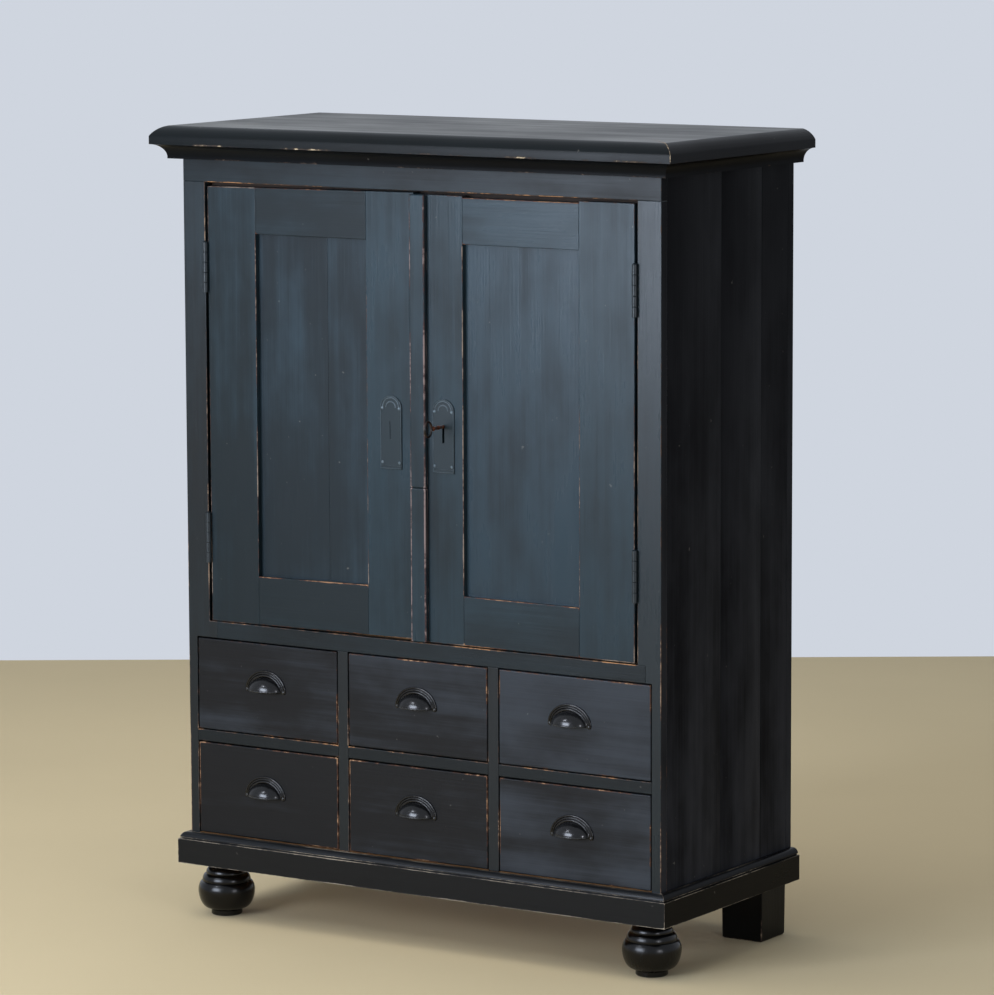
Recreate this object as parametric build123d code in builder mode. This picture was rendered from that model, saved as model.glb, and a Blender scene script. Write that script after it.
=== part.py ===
from build123d import *
import math
import os

# A floor-standing painted pine cupboard: two framed doors over two rows of three drawers.
# Millimetres, +Z up, the front faces -Y. The origin is the middle of the overall box, on the floor.

# Overall sizes of the case
case_width = 1000.0
case_depth = 454.0
foot_height = 99.0
side_thickness = 18.5
board = 19.5
frame_thickness = 20.0
back_thickness = 10.0
glue_gap = 0.2
running_gap = 0.4

# Heights, from the plinth up
plinth_height = 57.5
drawer_opening_height = 171.0
row_rail_height = 21.0
door_rail_height = 30.5
door_opening_height = 796.0
top_rail_height = 41.0
cove_height = 26.0
top_thickness = 33.0

# Widths across the face
stile_width = 47.0
partition_thickness = 21.5
partition_centres = (-160.75, 158.25)
rail_joint_left = -437.0
rail_joint_right = 469.0

# Mouldings
cove_base = 20.0
cove_fillet = 4.0
cove_turn_out = 5.5
cove_turn_up = 17.5
cove_reach = 42.0
top_reach = 43.5
top_land = 18.0
top_fillet = 5.0
ovolo_turn_in = 6.0
ovolo_turn_down = 12.0
plinth_thickness = 18.0
plinth_bead_reach = 15.0
plinth_bead_radius = 10.0
plinth_quirk = 2.5

# Doors
door_thickness = 22.0
left_door_setback = 0.3
hinge_side_gap = 6.0
meeting_x = -2.2
meeting_gap = 2.4
left_stiles = (104.5, 101.0)
right_stiles = (111.0, 99.5)
bottom_rail_to_sight = 89.5
top_rail_to_sight = 89.3
left_sight_rise = 4.0
left_top_gaps = (7.5, 3.0)
left_bottom_gaps = (1.2, 5.5)
right_top_gap = 5.5
right_rail_drop = 3.0
right_bottom_gap = 2.5
panel_recess = 10.0
panel_thickness = 8.0
groove_depth = 7.0
panel_play = 1.0
strip_width = 31.5
strip_lap = 3.2
strip_thickness = 10.0
strip_joint_share = 0.347
stop_gap = 0.4

# Butt hinges
hinge_length = 91.0
hinge_from_end = 153.0
knuckle_count = 5
knuckle_radius = 4.75
pin_radius = 2.5
pin_clearance = 0.05
pin_head_height = 1.5
knuckle_bite = 0.75
leaf_thickness = 2.0
leaf_depth = 19.0

# Escutcheons, lock, key and bolts
plate_width = 45.0
plate_body_height = 111.5
plate_arch_rise = 19.0
plate_thickness = 2.0
plate_border = 2.0
plate_border_rise = 0.5
plate_below_key = 82.0
left_plate_x = -52.0
key_x = 58.5
key_share = 0.4855
keyhole_width = 4.6
keyhole_drop = 29.0
stud_radius = 2.6
stud_inset_x = 4.7
stud_inset_low = 12.0
stud_inset_high = 3.5
shank_radius = 3.0
shank_length = 37.0
bow_length = 25.0
bow_height = 31.0
bow_wire = 4.0
bit_length = 20.0
bit_thickness = 2.4
lock_width = 74.0
lock_height = 62.0
lock_depth = 11.5
lock_wall = 2.0
lock_inset = 1.5
bolt_head_height = 24.0
bolt_thickness = 3.0
bolt_throw = 9.0
bolt_clearance = 2.0
slide_bolt_x = -55.0
slide_bolt_behind = 6.5
slide_rod_radius = 3.5
slide_rod_length = 110.0
slide_throw = 14.0
slide_plate_width = 28.0
slide_plate_length = 84.0
slide_plate_thickness = 1.5
slide_plate_drop = 4.0
guide_width = 18.0
guide_height = 14.0
knob_radius = 6.0
knob_length = 7.0
knob_neck = 7.0

# Drawers and their cup pulls
drawer_side_gap = 2.0
drawer_top_gap = 2.5
drawer_foot_gap = 2.0
drawer_behind_gap = 54.0
drawer_side = 12.0
drawer_lap = 10.0
drawer_bottom = 6.0
drawer_bottom_lift = 10.0
drawer_groove = 4.0
drawer_side_drop = 14.0
runner_width = 18.0
runner_height = 16.0
pull_width = 88.0
pull_height = 37.0
pull_plate = 2.0
pull_ring_width = 3.5
pull_ring_rise = 1.2
pull_ring_count = 3
pull_ear_radius = 4.5
cup_half_width = 35.5
cup_reach = 25.0
cup_wall = 2.0
cup_end_angle = 10.0
pull_lift_shares = (0.494, 0.477)
pull_shifts = ((-3.0, -2.0, -9.0), (-6.0, -3.5, -4.5))

# Feet
bun_radius = 52.0
bun_base_radius = 29.0
bun_collar_radius = 38.0
bun_neck_radius = 26.5
bun_flange_radius = 34.5
bun_inset = 45.0
foot_dowel_radius = 11.0
foot_dowel_cover = 8.0
rear_foot_width = 83.0
rear_foot_depth = 85.0
rear_foot_from_back = 19.0
rear_foot_bevel = 5.0
block_size = 92.0

# Inside the cupboard
cupboard_floor_step = 8.0
stop_drop = 10.0
shelf_thickness = 18.0
shelf_front = 60.0
shelf_play = 1.0
shelf_shares = (0.34, 0.685)
batten_size = 20.0
back_board_count = 5
back_board_gap = 1.0

# Levels worked out from the sizes above
half_width = case_width / 2
inner_half = half_width - side_thickness
row_two_floor = foot_height + plinth_height
row_two_top = row_two_floor + drawer_opening_height
row_one_floor = row_two_top + row_rail_height
row_one_top = row_one_floor + drawer_opening_height
door_floor = row_one_top + door_rail_height
door_head = door_floor + door_opening_height
cornice_floor = door_head + top_rail_height
top_floor = cornice_floor + cove_height
overall_height = top_floor + top_thickness
opening_half = half_width - stile_width
key_reach = shank_length + bow_length
face = (key_reach - case_depth) / 2
back = face + case_depth
back_inside = back - back_thickness
stop_face = face + door_thickness + left_door_setback + stop_gap
drawer_length = case_depth - drawer_behind_gap
foot_dowel_length = plinth_height - board - foot_dowel_cover
sight_bottom = door_floor + bottom_rail_to_sight
sight_top = door_head - top_rail_to_sight
key_height = door_floor + key_share * door_opening_height
plate_bottom = key_height - plate_below_key
hinge_heights = (door_floor + hinge_from_end, door_head - hinge_from_end)
shelf_heights = [door_floor + share * door_opening_height for share in shelf_shares]

os.makedirs("parts", exist_ok=True)


def save(part, name):
    """Labels a finished piece and writes it."""
    part.label = name
    export_step(part, f"parts/{name}.step")


def save_group(parts, name):
    """Writes several separate solids as one named group."""
    group = Compound(label=name, children=[solid for part in parts for solid in part.solids()])
    export_step(group, f"parts/{name}.step")


def make_board(x_span, y_span, z_span):
    """A rectangular board between the given limits."""
    with BuildPart() as piece:
        with BuildSketch(Plane.XY.offset(z_span[0])):
            with Locations((sum(x_span) / 2, sum(y_span) / 2)):
                Rectangle(x_span[1] - x_span[0], y_span[1] - y_span[0])
        extrude(amount=z_span[1] - z_span[0])
    return piece.part


def face_plane(y):
    """The upright plane at y, drawn as x across and z up, whose extrusions run forwards."""
    return Plane.XZ.offset(-y)


def make_face_shape(points, y_span):
    """A flat piece with the given outline of (x, z) corners, between two depths."""
    with BuildPart() as piece:
        with BuildSketch(face_plane(y_span[1])):
            with BuildLine():
                Polyline(*points, close=True)
            make_face()
        extrude(amount=y_span[1] - y_span[0])
    return piece.part


def make_side_shape(points, x_span):
    """A piece with the given outline of (y, z) corners, between two places across the width."""
    with BuildPart() as piece:
        with BuildSketch(Plane.YZ.offset(x_span[0])):
            with BuildLine():
                Polyline(*points, close=True)
            make_face()
        extrude(amount=x_span[1] - x_span[0])
    return piece.part


# Case sides, running from the plinth to the top
for name, x_span in {"left_side": (-half_width, -inner_half), "right_side": (inner_half, half_width)}.items():
    save(make_board(x_span, (face + frame_thickness, back), (foot_height, top_floor)), name)

# Face frame: each stile is one board, cut narrow beside the drawers
left_stile_points = [
    (-half_width, foot_height),
    (-inner_half, foot_height),
    (-inner_half, row_one_top),
    (rail_joint_left, row_one_top),
    (rail_joint_left, door_floor),
    (-opening_half, door_floor),
    (-opening_half, door_head),
    (-half_width, door_head),
]
right_stile_points = [
    (half_width, foot_height),
    (inner_half, foot_height),
    (inner_half, row_one_top),
    (rail_joint_right, row_one_top),
    (rail_joint_right, door_floor),
    (opening_half, door_floor),
    (opening_half, door_head),
    (half_width, door_head),
]
frame_span = (face, face + frame_thickness)
save(make_face_shape(left_stile_points, frame_span), "left_stile")
save(make_face_shape(right_stile_points, frame_span), "right_stile")
save(make_board((-half_width, half_width), frame_span, (door_head, top_floor)), "top_rail")
save(make_board((rail_joint_left, rail_joint_right), frame_span, (row_one_top, door_floor)), "door_rail")

# Partitions between the drawer columns, cut under the door rail and reaching up behind it
cupboard_floor_top = door_floor + cupboard_floor_step
mid_board_underside = cupboard_floor_top - board
partition_points = [
    (face, row_two_floor),
    (back_inside, row_two_floor),
    (back_inside, mid_board_underside),
    (face + frame_thickness, mid_board_underside),
    (face + frame_thickness, row_one_top),
    (face, row_one_top),
]
half_partition = partition_thickness / 2
partition_parts = [
    make_side_shape(partition_points, (x - half_partition, x + half_partition)) for x in partition_centres
]
save_group(partition_parts, "partitions")

# The three drawer columns, as spans between the stiles and the partitions
column_edges = [-inner_half]
for x in partition_centres:
    column_edges += [x - half_partition, x + half_partition]
column_edges.append(inner_half)
columns = [(column_edges[i], column_edges[i + 1]) for i in range(0, len(column_edges), 2)]
rows = [(row_one_floor, row_one_top), (row_two_floor, row_two_top)]

row_rail_parts = [make_board(column, frame_span, (row_two_top, row_one_floor)) for column in columns]
save_group(row_rail_parts, "row_rails")

# Boards across the inside: under the lower drawers and under the cupboard
bottom_board_z = (row_two_floor - board, row_two_floor)
save(make_board((-inner_half, inner_half), (face, back_inside), bottom_board_z), "bottom_board")
mid_board_points = [
    (face + frame_thickness, mid_board_underside),
    (back_inside, mid_board_underside),
    (back_inside, cupboard_floor_top),
    (stop_face, cupboard_floor_top),
    (stop_face, door_floor),
    (face + frame_thickness, door_floor),
]
save(make_side_shape(mid_board_points, (-inner_half, inner_half)), "mid_board")

# Runners that carry the upper drawers, one on each side of each column
runner_parts = []
for low, high in columns:
    for x_span in ((low, low + runner_width), (high - runner_width, high)):
        runner_span = (face + frame_thickness, back_inside)
        runner_parts.append(make_board(x_span, runner_span, (row_one_floor - runner_height, row_one_floor)))
save_group(runner_parts, "drawer_runners")

# Upright boards that close the back
back_part_width = (2 * inner_half - (back_board_count - 1) * back_board_gap) / back_board_count
back_parts = []
for number in range(back_board_count):
    low = -inner_half + number * (back_part_width + back_board_gap)
    back_parts.append(make_board((low, low + back_part_width), (back_inside, back), (foot_height, top_floor)))
save_group(back_parts, "back_boards")

# Strip behind the top rail that the doors close against, bored for the slide bolt
bolt_axis_y = face + left_door_setback + door_thickness + slide_bolt_behind
stop_points = [
    (face + frame_thickness, door_head),
    (stop_face, door_head),
    (stop_face, door_head - stop_drop),
    (stop_face + board, door_head - stop_drop),
    (stop_face + board, top_floor),
    (face + frame_thickness, top_floor),
]
with BuildPart() as door_stop:
    with BuildSketch(Plane.YZ.offset(-inner_half)):
        with BuildLine():
            Polyline(*stop_points, close=True)
        make_face()
    extrude(amount=2 * inner_half)
    with BuildSketch(Plane.XY.offset(door_head - stop_drop)):
        with Locations((slide_bolt_x, bolt_axis_y)):
            Circle(slide_rod_radius + running_gap)
    extrude(amount=slide_throw + stop_drop, mode=Mode.SUBTRACT)
save(door_stop.part, "door_stop")

# Shelves on battens
shelf_parts = []
batten_parts = []
shelf_x = (-inner_half + shelf_play, inner_half - shelf_play)
shelf_y = (face + shelf_front, back_inside)
for height in shelf_heights:
    shelf_parts.append(make_board(shelf_x, shelf_y, (height, height + shelf_thickness)))
    for x_span in ((-inner_half, -inner_half + batten_size), (inner_half - batten_size, inner_half)):
        batten_parts.append(make_board(x_span, shelf_y, (height - batten_size, height)))
save_group(shelf_parts, "shelves")
save_group(batten_parts, "shelf_battens")


def mitre(side):
    """The upright 45 degree plane through the front corner on the given side, -1 left or 1 right."""
    return Plane(origin=(side * half_width, face, 0), z_dir=(-side, -1, 0))


def make_front_run(profile):
    """A moulding along the front, mitred at both ends. The profile is a list of drawn lines."""
    reach = half_width + top_reach + plinth_thickness
    with BuildPart() as run:
        with BuildSketch(Plane.YZ.offset(-reach)):
            with BuildLine():
                profile(lambda out, up: (face - out, up))
            make_face()
        extrude(amount=2 * reach)
        split(bisect_by=mitre(-1), keep=Keep.TOP)
        split(bisect_by=mitre(1), keep=Keep.TOP)
    return run.part


def make_side_run(profile, side):
    """The same moulding along one side, from its mitre to the back."""
    with BuildPart() as run:
        with BuildSketch(face_plane(back)):
            with BuildLine():
                profile(lambda out, up: (side * (half_width + out), up))
            make_face()
        extrude(amount=case_depth + top_reach + plinth_thickness)
        split(bisect_by=mitre(side), keep=Keep.BOTTOM)
    return run.part


def cove_profile(at):
    """Cove under the top: a narrow fillet, then a hollow that rises to its reach."""
    hollow_foot = at(cove_base, cornice_floor + cove_fillet)
    hollow_turn = at(cove_base + cove_turn_out, cornice_floor + cove_turn_up)
    Polyline(at(0, top_floor), at(0, cornice_floor), at(cove_base, cornice_floor), hollow_foot)
    ThreePointArc(hollow_foot, hollow_turn, at(cove_reach, top_floor))
    Line(at(cove_reach, top_floor), at(0, top_floor))


def plinth_profile(at):
    """Flat plinth board with a bead and a quirk along its top edge."""
    bead_foot = row_two_floor - plinth_bead_radius
    quirk_floor = bead_foot - plinth_quirk
    bead_start = plinth_bead_reach - plinth_bead_radius
    diagonal = plinth_bead_radius * math.sqrt(0.5)
    bead_middle = (bead_start + diagonal, bead_foot + diagonal)
    Polyline(at(0, foot_height), at(0, row_two_floor), at(bead_start, row_two_floor))
    ThreePointArc(at(bead_start, row_two_floor), at(*bead_middle), at(plinth_bead_reach, bead_foot))
    Polyline(at(plinth_bead_reach, bead_foot), at(plinth_bead_reach - plinth_quirk, bead_foot),
             at(plinth_bead_reach - plinth_quirk, quirk_floor), at(plinth_thickness, quirk_floor),
             at(plinth_thickness, foot_height), at(0, foot_height))


cove_returns = [make_side_run(cove_profile, side) for side in (-1, 1)]
save_group([make_front_run(cove_profile)] + cove_returns, "cornice")
save(make_front_run(plinth_profile), "plinth_front")
save_group([make_side_run(plinth_profile, side) for side in (-1, 1)], "plinth_returns")


def ovolo(at):
    """Rounded nosing of the top, from its underside up to the flat."""
    turn = at(top_reach - ovolo_turn_in, overall_height - ovolo_turn_down)
    ThreePointArc(at(top_reach, top_floor + top_fillet), turn, at(top_land, overall_height))


# The top: the front nosing and the two side nosings meet in mitred corners
with BuildPart() as top_board:
    with BuildSketch(Plane.YZ.offset(-half_width - top_reach)):
        with BuildLine():
            ovolo(lambda out, up: (face - out, up))
            Polyline((face - top_land, overall_height), (back, overall_height), (back, top_floor),
                     (face - top_reach, top_floor), (face - top_reach, top_floor + top_fillet))
        make_face()
    extrude(amount=2 * (half_width + top_reach))
    with BuildSketch(face_plane(back)):
        with BuildLine():
            ovolo(lambda out, up: (-half_width - out, up))
            ovolo(lambda out, up: (half_width + out, up))
            Line((-half_width - top_land, overall_height), (half_width + top_land, overall_height))
            Polyline((-half_width - top_reach, top_floor + top_fillet), (-half_width - top_reach, top_floor),
                     (half_width + top_reach, top_floor), (half_width + top_reach, top_floor + top_fillet))
        make_face()
    extrude(amount=case_depth + top_reach, mode=Mode.INTERSECT)
save(top_board.part, "top_board")

# Corner blocks under the bottom board, bored for the feet's dowels
front_foot_places = [(side * (half_width - bun_inset), face + bun_inset) for side in (-1, 1)]
rear_foot_y = back - rear_foot_from_back - rear_foot_depth / 2
rear_foot_places = [(side * (half_width - rear_foot_width / 2), rear_foot_y) for side in (-1, 1)]
block_parts = []
for x, y in front_foot_places + rear_foot_places:
    side = math.copysign(1, x)
    y_middle = face + block_size / 2 if y < 0 else back_inside - block_size / 2
    with BuildPart() as block:
        with BuildSketch(Plane.XY.offset(foot_height)):
            with Locations((side * (inner_half - block_size / 2), y_middle)):
                Rectangle(block_size, block_size)
        extrude(amount=plinth_height - board)
        with BuildSketch(Plane.XY.offset(foot_height)):
            with Locations((x, y)):
                Circle(foot_dowel_radius + glue_gap)
        extrude(amount=foot_dowel_length + glue_gap, mode=Mode.SUBTRACT)
    block_parts.append(block.part)
save_group(block_parts, "foot_blocks")

# Turned front feet: a flattened ball on a small base, then a collar, a neck and a flange
front_foot_parts = []
dowel_top = foot_height + foot_dowel_length
for x, y in front_foot_places:
    turning_plane = Plane(origin=(x, y, 0), x_dir=(1, 0, 0), z_dir=(0, -1, 0))
    ball_low = (bun_base_radius + 2.0, 0.05 * foot_height)
    ball_wide = (bun_radius, 0.385 * foot_height)
    ball_high = (0.83 * bun_radius, 0.58 * foot_height)
    collar_low = (bun_collar_radius, 0.60 * foot_height)
    collar_high = (bun_neck_radius + 3.0, 0.69 * foot_height)
    neck_low = (bun_neck_radius, 0.70 * foot_height)
    neck_high = (bun_neck_radius + 1.5, 0.84 * foot_height)
    with BuildPart() as bun_foot:
        with BuildSketch(turning_plane):
            with BuildLine():
                Polyline((0, 0), (bun_base_radius, 0), ball_low)
                ThreePointArc(ball_low, (0.83 * bun_radius, 0.175 * foot_height), ball_wide)
                ThreePointArc(ball_wide, (0.95 * bun_radius, 0.49 * foot_height), ball_high)
                Line(ball_high, collar_low)
                ThreePointArc(collar_low, (bun_collar_radius - 3.0, 0.66 * foot_height), collar_high)
                Line(collar_high, neck_low)
                ThreePointArc(neck_low, (bun_neck_radius - 1.0, 0.77 * foot_height), neck_high)
                Polyline(neck_high, (bun_flange_radius, 0.88 * foot_height), (bun_flange_radius, foot_height),
                         (foot_dowel_radius, foot_height), (foot_dowel_radius, dowel_top),
                         (0, dowel_top), (0, 0))
            make_face()
        revolve(axis=Axis((x, y, 0), (0, 0, 1)))
    front_foot_parts.append(bun_foot.part)
save_group(front_foot_parts, "front_feet")

# Square rear feet, softened where they meet the floor
rear_foot_parts = []
for x, y in rear_foot_places:
    with BuildPart() as block_foot:
        with BuildSketch(Plane.XY):
            with Locations((x, y)):
                Rectangle(rear_foot_width, rear_foot_depth)
        extrude(amount=foot_height)
        chamfer(block_foot.edges().group_by(Axis.Z)[0], rear_foot_bevel)
        with BuildSketch(Plane.XY.offset(foot_height)):
            with Locations((x, y)):
                Circle(foot_dowel_radius)
        extrude(amount=foot_dowel_length)
    rear_foot_parts.append(block_foot.part)
save_group(rear_foot_parts, "rear_feet")


# Doors
hinge_x = opening_half - hinge_side_gap / 2
hinge_y = face - knuckle_radius + knuckle_bite


def door_sizes(side):
    """Edges of a door: its hinge edge, meeting edge, stile seams and the depth of its face."""
    outer = side * (opening_half - hinge_side_gap)
    meeting = meeting_x + side * meeting_gap / 2
    widths = left_stiles if side < 0 else right_stiles
    front = face + (left_door_setback if side < 0 else 0)
    return outer, meeting, outer - side * widths[0], meeting + side * widths[1], front


def edge_heights(side, x):
    """Bottom and top of a door at x. The left door's edges slope, as it was planed to fit."""
    if side > 0:
        return door_floor + right_bottom_gap, door_head - right_top_gap
    outer, meeting = door_sizes(side)[:2]
    share = (x - outer) / (meeting - outer)
    low = left_bottom_gaps[0] + share * (left_bottom_gaps[1] - left_bottom_gaps[0])
    high = left_top_gaps[0] + share * (left_top_gaps[1] - left_top_gaps[0])
    return door_floor + low, door_head - high


def sight_heights(side, x):
    """Bottom and top of a door's panel opening at x. The left one rises towards the lock stile."""
    hinge_seam, lock_seam = door_sizes(side)[2:4]
    rise = left_sight_rise * (x - hinge_seam) / (lock_seam - hinge_seam) if side < 0 else 0
    return sight_bottom + rise, sight_top


def draw_keyhole(x, clearance):
    """Draws a keyhole in the sketch at hand: a round top and a slot below it."""
    with Locations((x, key_height)):
        Circle(shank_radius + clearance)
    with Locations((x, key_height - keyhole_drop / 2)):
        Rectangle(keyhole_width, keyhole_drop)


def make_stile(side, edge_x, seam_x, has_keyhole=False):
    """A door stile, grooved for the panel and for the rails' tongues."""
    front = door_sizes(side)[4]
    corners = [(edge_x, edge_heights(side, edge_x)[0]), (seam_x, edge_heights(side, seam_x)[0]),
               (seam_x, edge_heights(side, seam_x)[1]), (edge_x, edge_heights(side, edge_x)[1])]
    groove_x = seam_x + math.copysign(groove_depth / 2, edge_x - seam_x)
    with BuildPart() as stile:
        with BuildSketch(face_plane(front + door_thickness)):
            with BuildLine():
                Polyline(*corners, close=True)
            make_face()
        extrude(amount=door_thickness)
        with BuildSketch(face_plane(front + panel_recess + panel_thickness)):
            with Locations((groove_x, (door_floor + door_head) / 2)):
                Rectangle(groove_depth, door_opening_height)
        extrude(amount=panel_thickness, mode=Mode.SUBTRACT)
        if has_keyhole:
            with BuildSketch(face_plane(front + door_thickness)):
                draw_keyhole(key_x, 2 * running_gap)
            extrude(amount=door_thickness, mode=Mode.SUBTRACT)
    return stile.part


def make_rail(side, end):
    """A door rail, 0 for the bottom or 1 for the top, tongued at both ends and grooved for the panel."""
    hinge_seam, lock_seam, front = door_sizes(side)[2:]
    seams = sorted((hinge_seam, lock_seam))
    hold = groove_depth - panel_play
    tongue_x = (seams[0] - hold, seams[1] + hold)
    away = 1 if end else -1
    drop = right_rail_drop if end and side > 0 else 0
    tongue_width = min(bottom_rail_to_sight, top_rail_to_sight) / 2

    def band(x_span, nearest, furthest):
        """Corners of a band along the rail, between two distances from the panel opening."""
        near = [(x, sight_heights(side, x)[end] + away * nearest) for x in x_span]
        far = [(x, sight_heights(side, x)[end] + away * furthest) for x in reversed(x_span)]
        return near + far

    sight_edge = [(x, sight_heights(side, x)[end]) for x in seams]
    outer_edge = [(x, edge_heights(side, x)[end] - drop) for x in reversed(seams)]
    with BuildPart() as rail:
        with BuildSketch(face_plane(front + door_thickness)):
            with BuildLine():
                Polyline(*sight_edge, *outer_edge, close=True)
            make_face()
        extrude(amount=door_thickness)
        with BuildSketch(face_plane(front + panel_recess + panel_thickness)):
            with BuildLine():
                Polyline(*band(tongue_x, groove_depth, groove_depth + tongue_width), close=True)
            make_face()
        extrude(amount=panel_thickness)
        with BuildSketch(face_plane(front + panel_recess + panel_thickness)):
            with BuildLine():
                Polyline(*band(seams, 0, groove_depth), close=True)
            make_face()
        extrude(amount=panel_thickness, mode=Mode.SUBTRACT)
    return rail.part


def make_panel(side):
    """The loose panel, held in the grooves with a little play for the wood to move."""
    hinge_seam, lock_seam, front = door_sizes(side)[2:]
    low, high = sorted((hinge_seam, lock_seam))
    hold = groove_depth - panel_play
    foot = [sight_heights(side, x)[0] - hold for x in (low, high)]
    corners = [(low - hold, foot[0]), (high + hold, foot[1]), (high + hold, sight_top + hold),
               (low - hold, sight_top + hold)]
    panel_front = front + panel_recess
    return make_face_shape(corners, (panel_front, panel_front + panel_thickness))


for side, name in ((-1, "left"), (1, "right")):
    outer, meeting, hinge_seam, lock_seam, front = door_sizes(side)
    save(make_stile(side, outer, hinge_seam), f"{name}_hinge_stile")
    save(make_stile(side, meeting, lock_seam, has_keyhole=side > 0), f"{name}_lock_stile")
    save_group([make_rail(side, 0), make_rail(side, 1)], f"{name}_door_rails")
    save(make_panel(side), f"{name}_panel")

# Strip on the right door that laps over the left one, in two lengths butted together
right_meeting = door_sizes(1)[1]
left_meeting = door_sizes(-1)[1]
strip_low, strip_high = edge_heights(1, right_meeting)
strip_joint = strip_low + strip_joint_share * (strip_high - strip_low)
strip_x = (left_meeting - strip_lap, left_meeting - strip_lap + strip_width)
strip_parts = []
for z_span in ((strip_low, strip_joint - glue_gap / 2), (strip_joint + glue_gap / 2, strip_high)):
    strip_parts.append(make_board(strip_x, (face - strip_thickness, face), z_span))
save_group(strip_parts, "cover_strip")


def make_hinge_half(side, centre_height, on_door):
    """One half of a butt hinge: a leaf and its knuckles, bored for the pin."""
    low = centre_height - hinge_length / 2
    knuckle = hinge_length / knuckle_count
    own_knuckles = range(1, knuckle_count, 2) if on_door else range(0, knuckle_count, 2)
    edge_x = side * (opening_half - hinge_side_gap if on_door else opening_half)
    leaf_middle = edge_x + side * (leaf_thickness / 2 if on_door else -leaf_thickness / 2)
    leaf_front = hinge_y + knuckle_radius + running_gap
    leaf_back = leaf_front + leaf_depth
    with BuildPart() as half:
        with BuildSketch(Plane.XY.offset(low)):
            with Locations((leaf_middle, (leaf_front + leaf_back) / 2)):
                Rectangle(leaf_thickness, leaf_depth)
        extrude(amount=hinge_length)
        for number in own_knuckles:
            with BuildSketch(Plane.XY.offset(low + number * knuckle + running_gap / 2)):
                with Locations((side * hinge_x, hinge_y)):
                    Circle(knuckle_radius)
                with Locations((leaf_middle, (hinge_y + leaf_front) / 2)):
                    Rectangle(leaf_thickness, leaf_front - hinge_y)
            extrude(amount=knuckle - running_gap)
        with BuildSketch(Plane.XY.offset(low)):
            with Locations((side * hinge_x, hinge_y)):
                Circle(pin_radius + pin_clearance)
        extrude(amount=hinge_length, mode=Mode.SUBTRACT)
    return half.part


def make_hinge_pin(side, centre_height):
    """A hinge pin with a flat head at each end."""
    head_radius = knuckle_radius - running_gap
    with BuildPart() as pin:
        for radius, length, start in (
            (pin_radius, hinge_length, centre_height - hinge_length / 2),
            (head_radius, pin_head_height, centre_height - hinge_length / 2 - pin_head_height),
            (head_radius, pin_head_height, centre_height + hinge_length / 2),
        ):
            with BuildSketch(Plane.XY.offset(start)):
                with Locations((side * hinge_x, hinge_y)):
                    Circle(radius)
            extrude(amount=length)
    return pin.part


case_leaves = [make_hinge_half(side, height, False) for side in (-1, 1) for height in hinge_heights]
hinge_pins = [make_hinge_pin(side, height) for side in (-1, 1) for height in hinge_heights]
save_group(case_leaves, "case_hinge_leaves")
save_group(hinge_pins, "hinge_pins")
for side, name in ((-1, "left"), (1, "right")):
    save_group([make_hinge_half(side, height, True) for height in hinge_heights], f"{name}_hinge_leaves")


def make_plate(side, centre_x, pierced):
    """An arched lock plate with a raised border and four studs. A pierced one lets the key through."""
    front = door_sizes(side)[4]
    half = plate_width / 2
    stud_reach = half - stud_inset_x
    shoulder = plate_bottom + plate_body_height
    cut_depth = plate_thickness if pierced else plate_thickness / 2
    with BuildPart() as plate:
        with BuildSketch(face_plane(front)) as outline:
            with BuildLine():
                Polyline((centre_x - half, shoulder), (centre_x - half, plate_bottom),
                         (centre_x + half, plate_bottom), (centre_x + half, shoulder))
                ThreePointArc((centre_x + half, shoulder), (centre_x, shoulder + plate_arch_rise),
                              (centre_x - half, shoulder))
            make_face()
        extrude(amount=plate_thickness)
        with BuildSketch(face_plane(front - plate_thickness)):
            add(outline.sketch_local)
            offset(outline.sketch_local, amount=-plate_border, mode=Mode.SUBTRACT)
        extrude(amount=plate_border_rise)
        with BuildSketch(face_plane(front - plate_thickness)):
            for height in (plate_bottom + stud_inset_low, shoulder - stud_inset_high):
                with Locations((centre_x - stud_reach, height), (centre_x + stud_reach, height)):
                    Circle(stud_radius)
        extrude(amount=stud_radius / 2)
        with BuildSketch(face_plane(front - plate_thickness + cut_depth)):
            draw_keyhole(centre_x, running_gap)
        extrude(amount=cut_depth, mode=Mode.SUBTRACT)
    return plate.part


save(make_plate(-1, left_plate_x, False), "left_plate")
save(make_plate(1, key_x, True), "right_plate")

# Lock on the inner face of the right door, hollow for its bolt and the key's bit
lock_front = face + door_thickness
lock_x = (right_meeting + lock_inset, right_meeting + lock_inset + lock_width)
lock_z = (key_height - lock_height / 2, key_height + lock_height / 2)
bolt_y = (lock_front + lock_wall + running_gap, lock_front + lock_wall + running_gap + bolt_thickness)
with BuildPart() as lock_case:
    with BuildSketch(face_plane(lock_front + lock_depth)):
        with Locations((sum(lock_x) / 2, key_height)):
            Rectangle(lock_width, lock_height)
    extrude(amount=lock_depth)
    with BuildSketch(face_plane(lock_front + lock_depth - lock_wall)):
        with Locations((sum(lock_x) / 2, key_height)):
            Rectangle(lock_width - 2 * lock_wall, lock_height - 2 * lock_wall)
    extrude(amount=lock_depth - 2 * lock_wall, mode=Mode.SUBTRACT)
    with BuildSketch(face_plane(lock_front + lock_wall)):
        draw_keyhole(key_x, running_gap)
    extrude(amount=lock_wall, mode=Mode.SUBTRACT)
    with BuildSketch(Plane.YZ.offset(lock_x[0])):
        with Locations((sum(bolt_y) / 2, key_height)):
            Rectangle(bolt_thickness + 2 * running_gap, bolt_head_height + 2 * running_gap)
    extrude(amount=lock_wall, mode=Mode.SUBTRACT)
save(lock_case.part, "lock_case")

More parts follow.
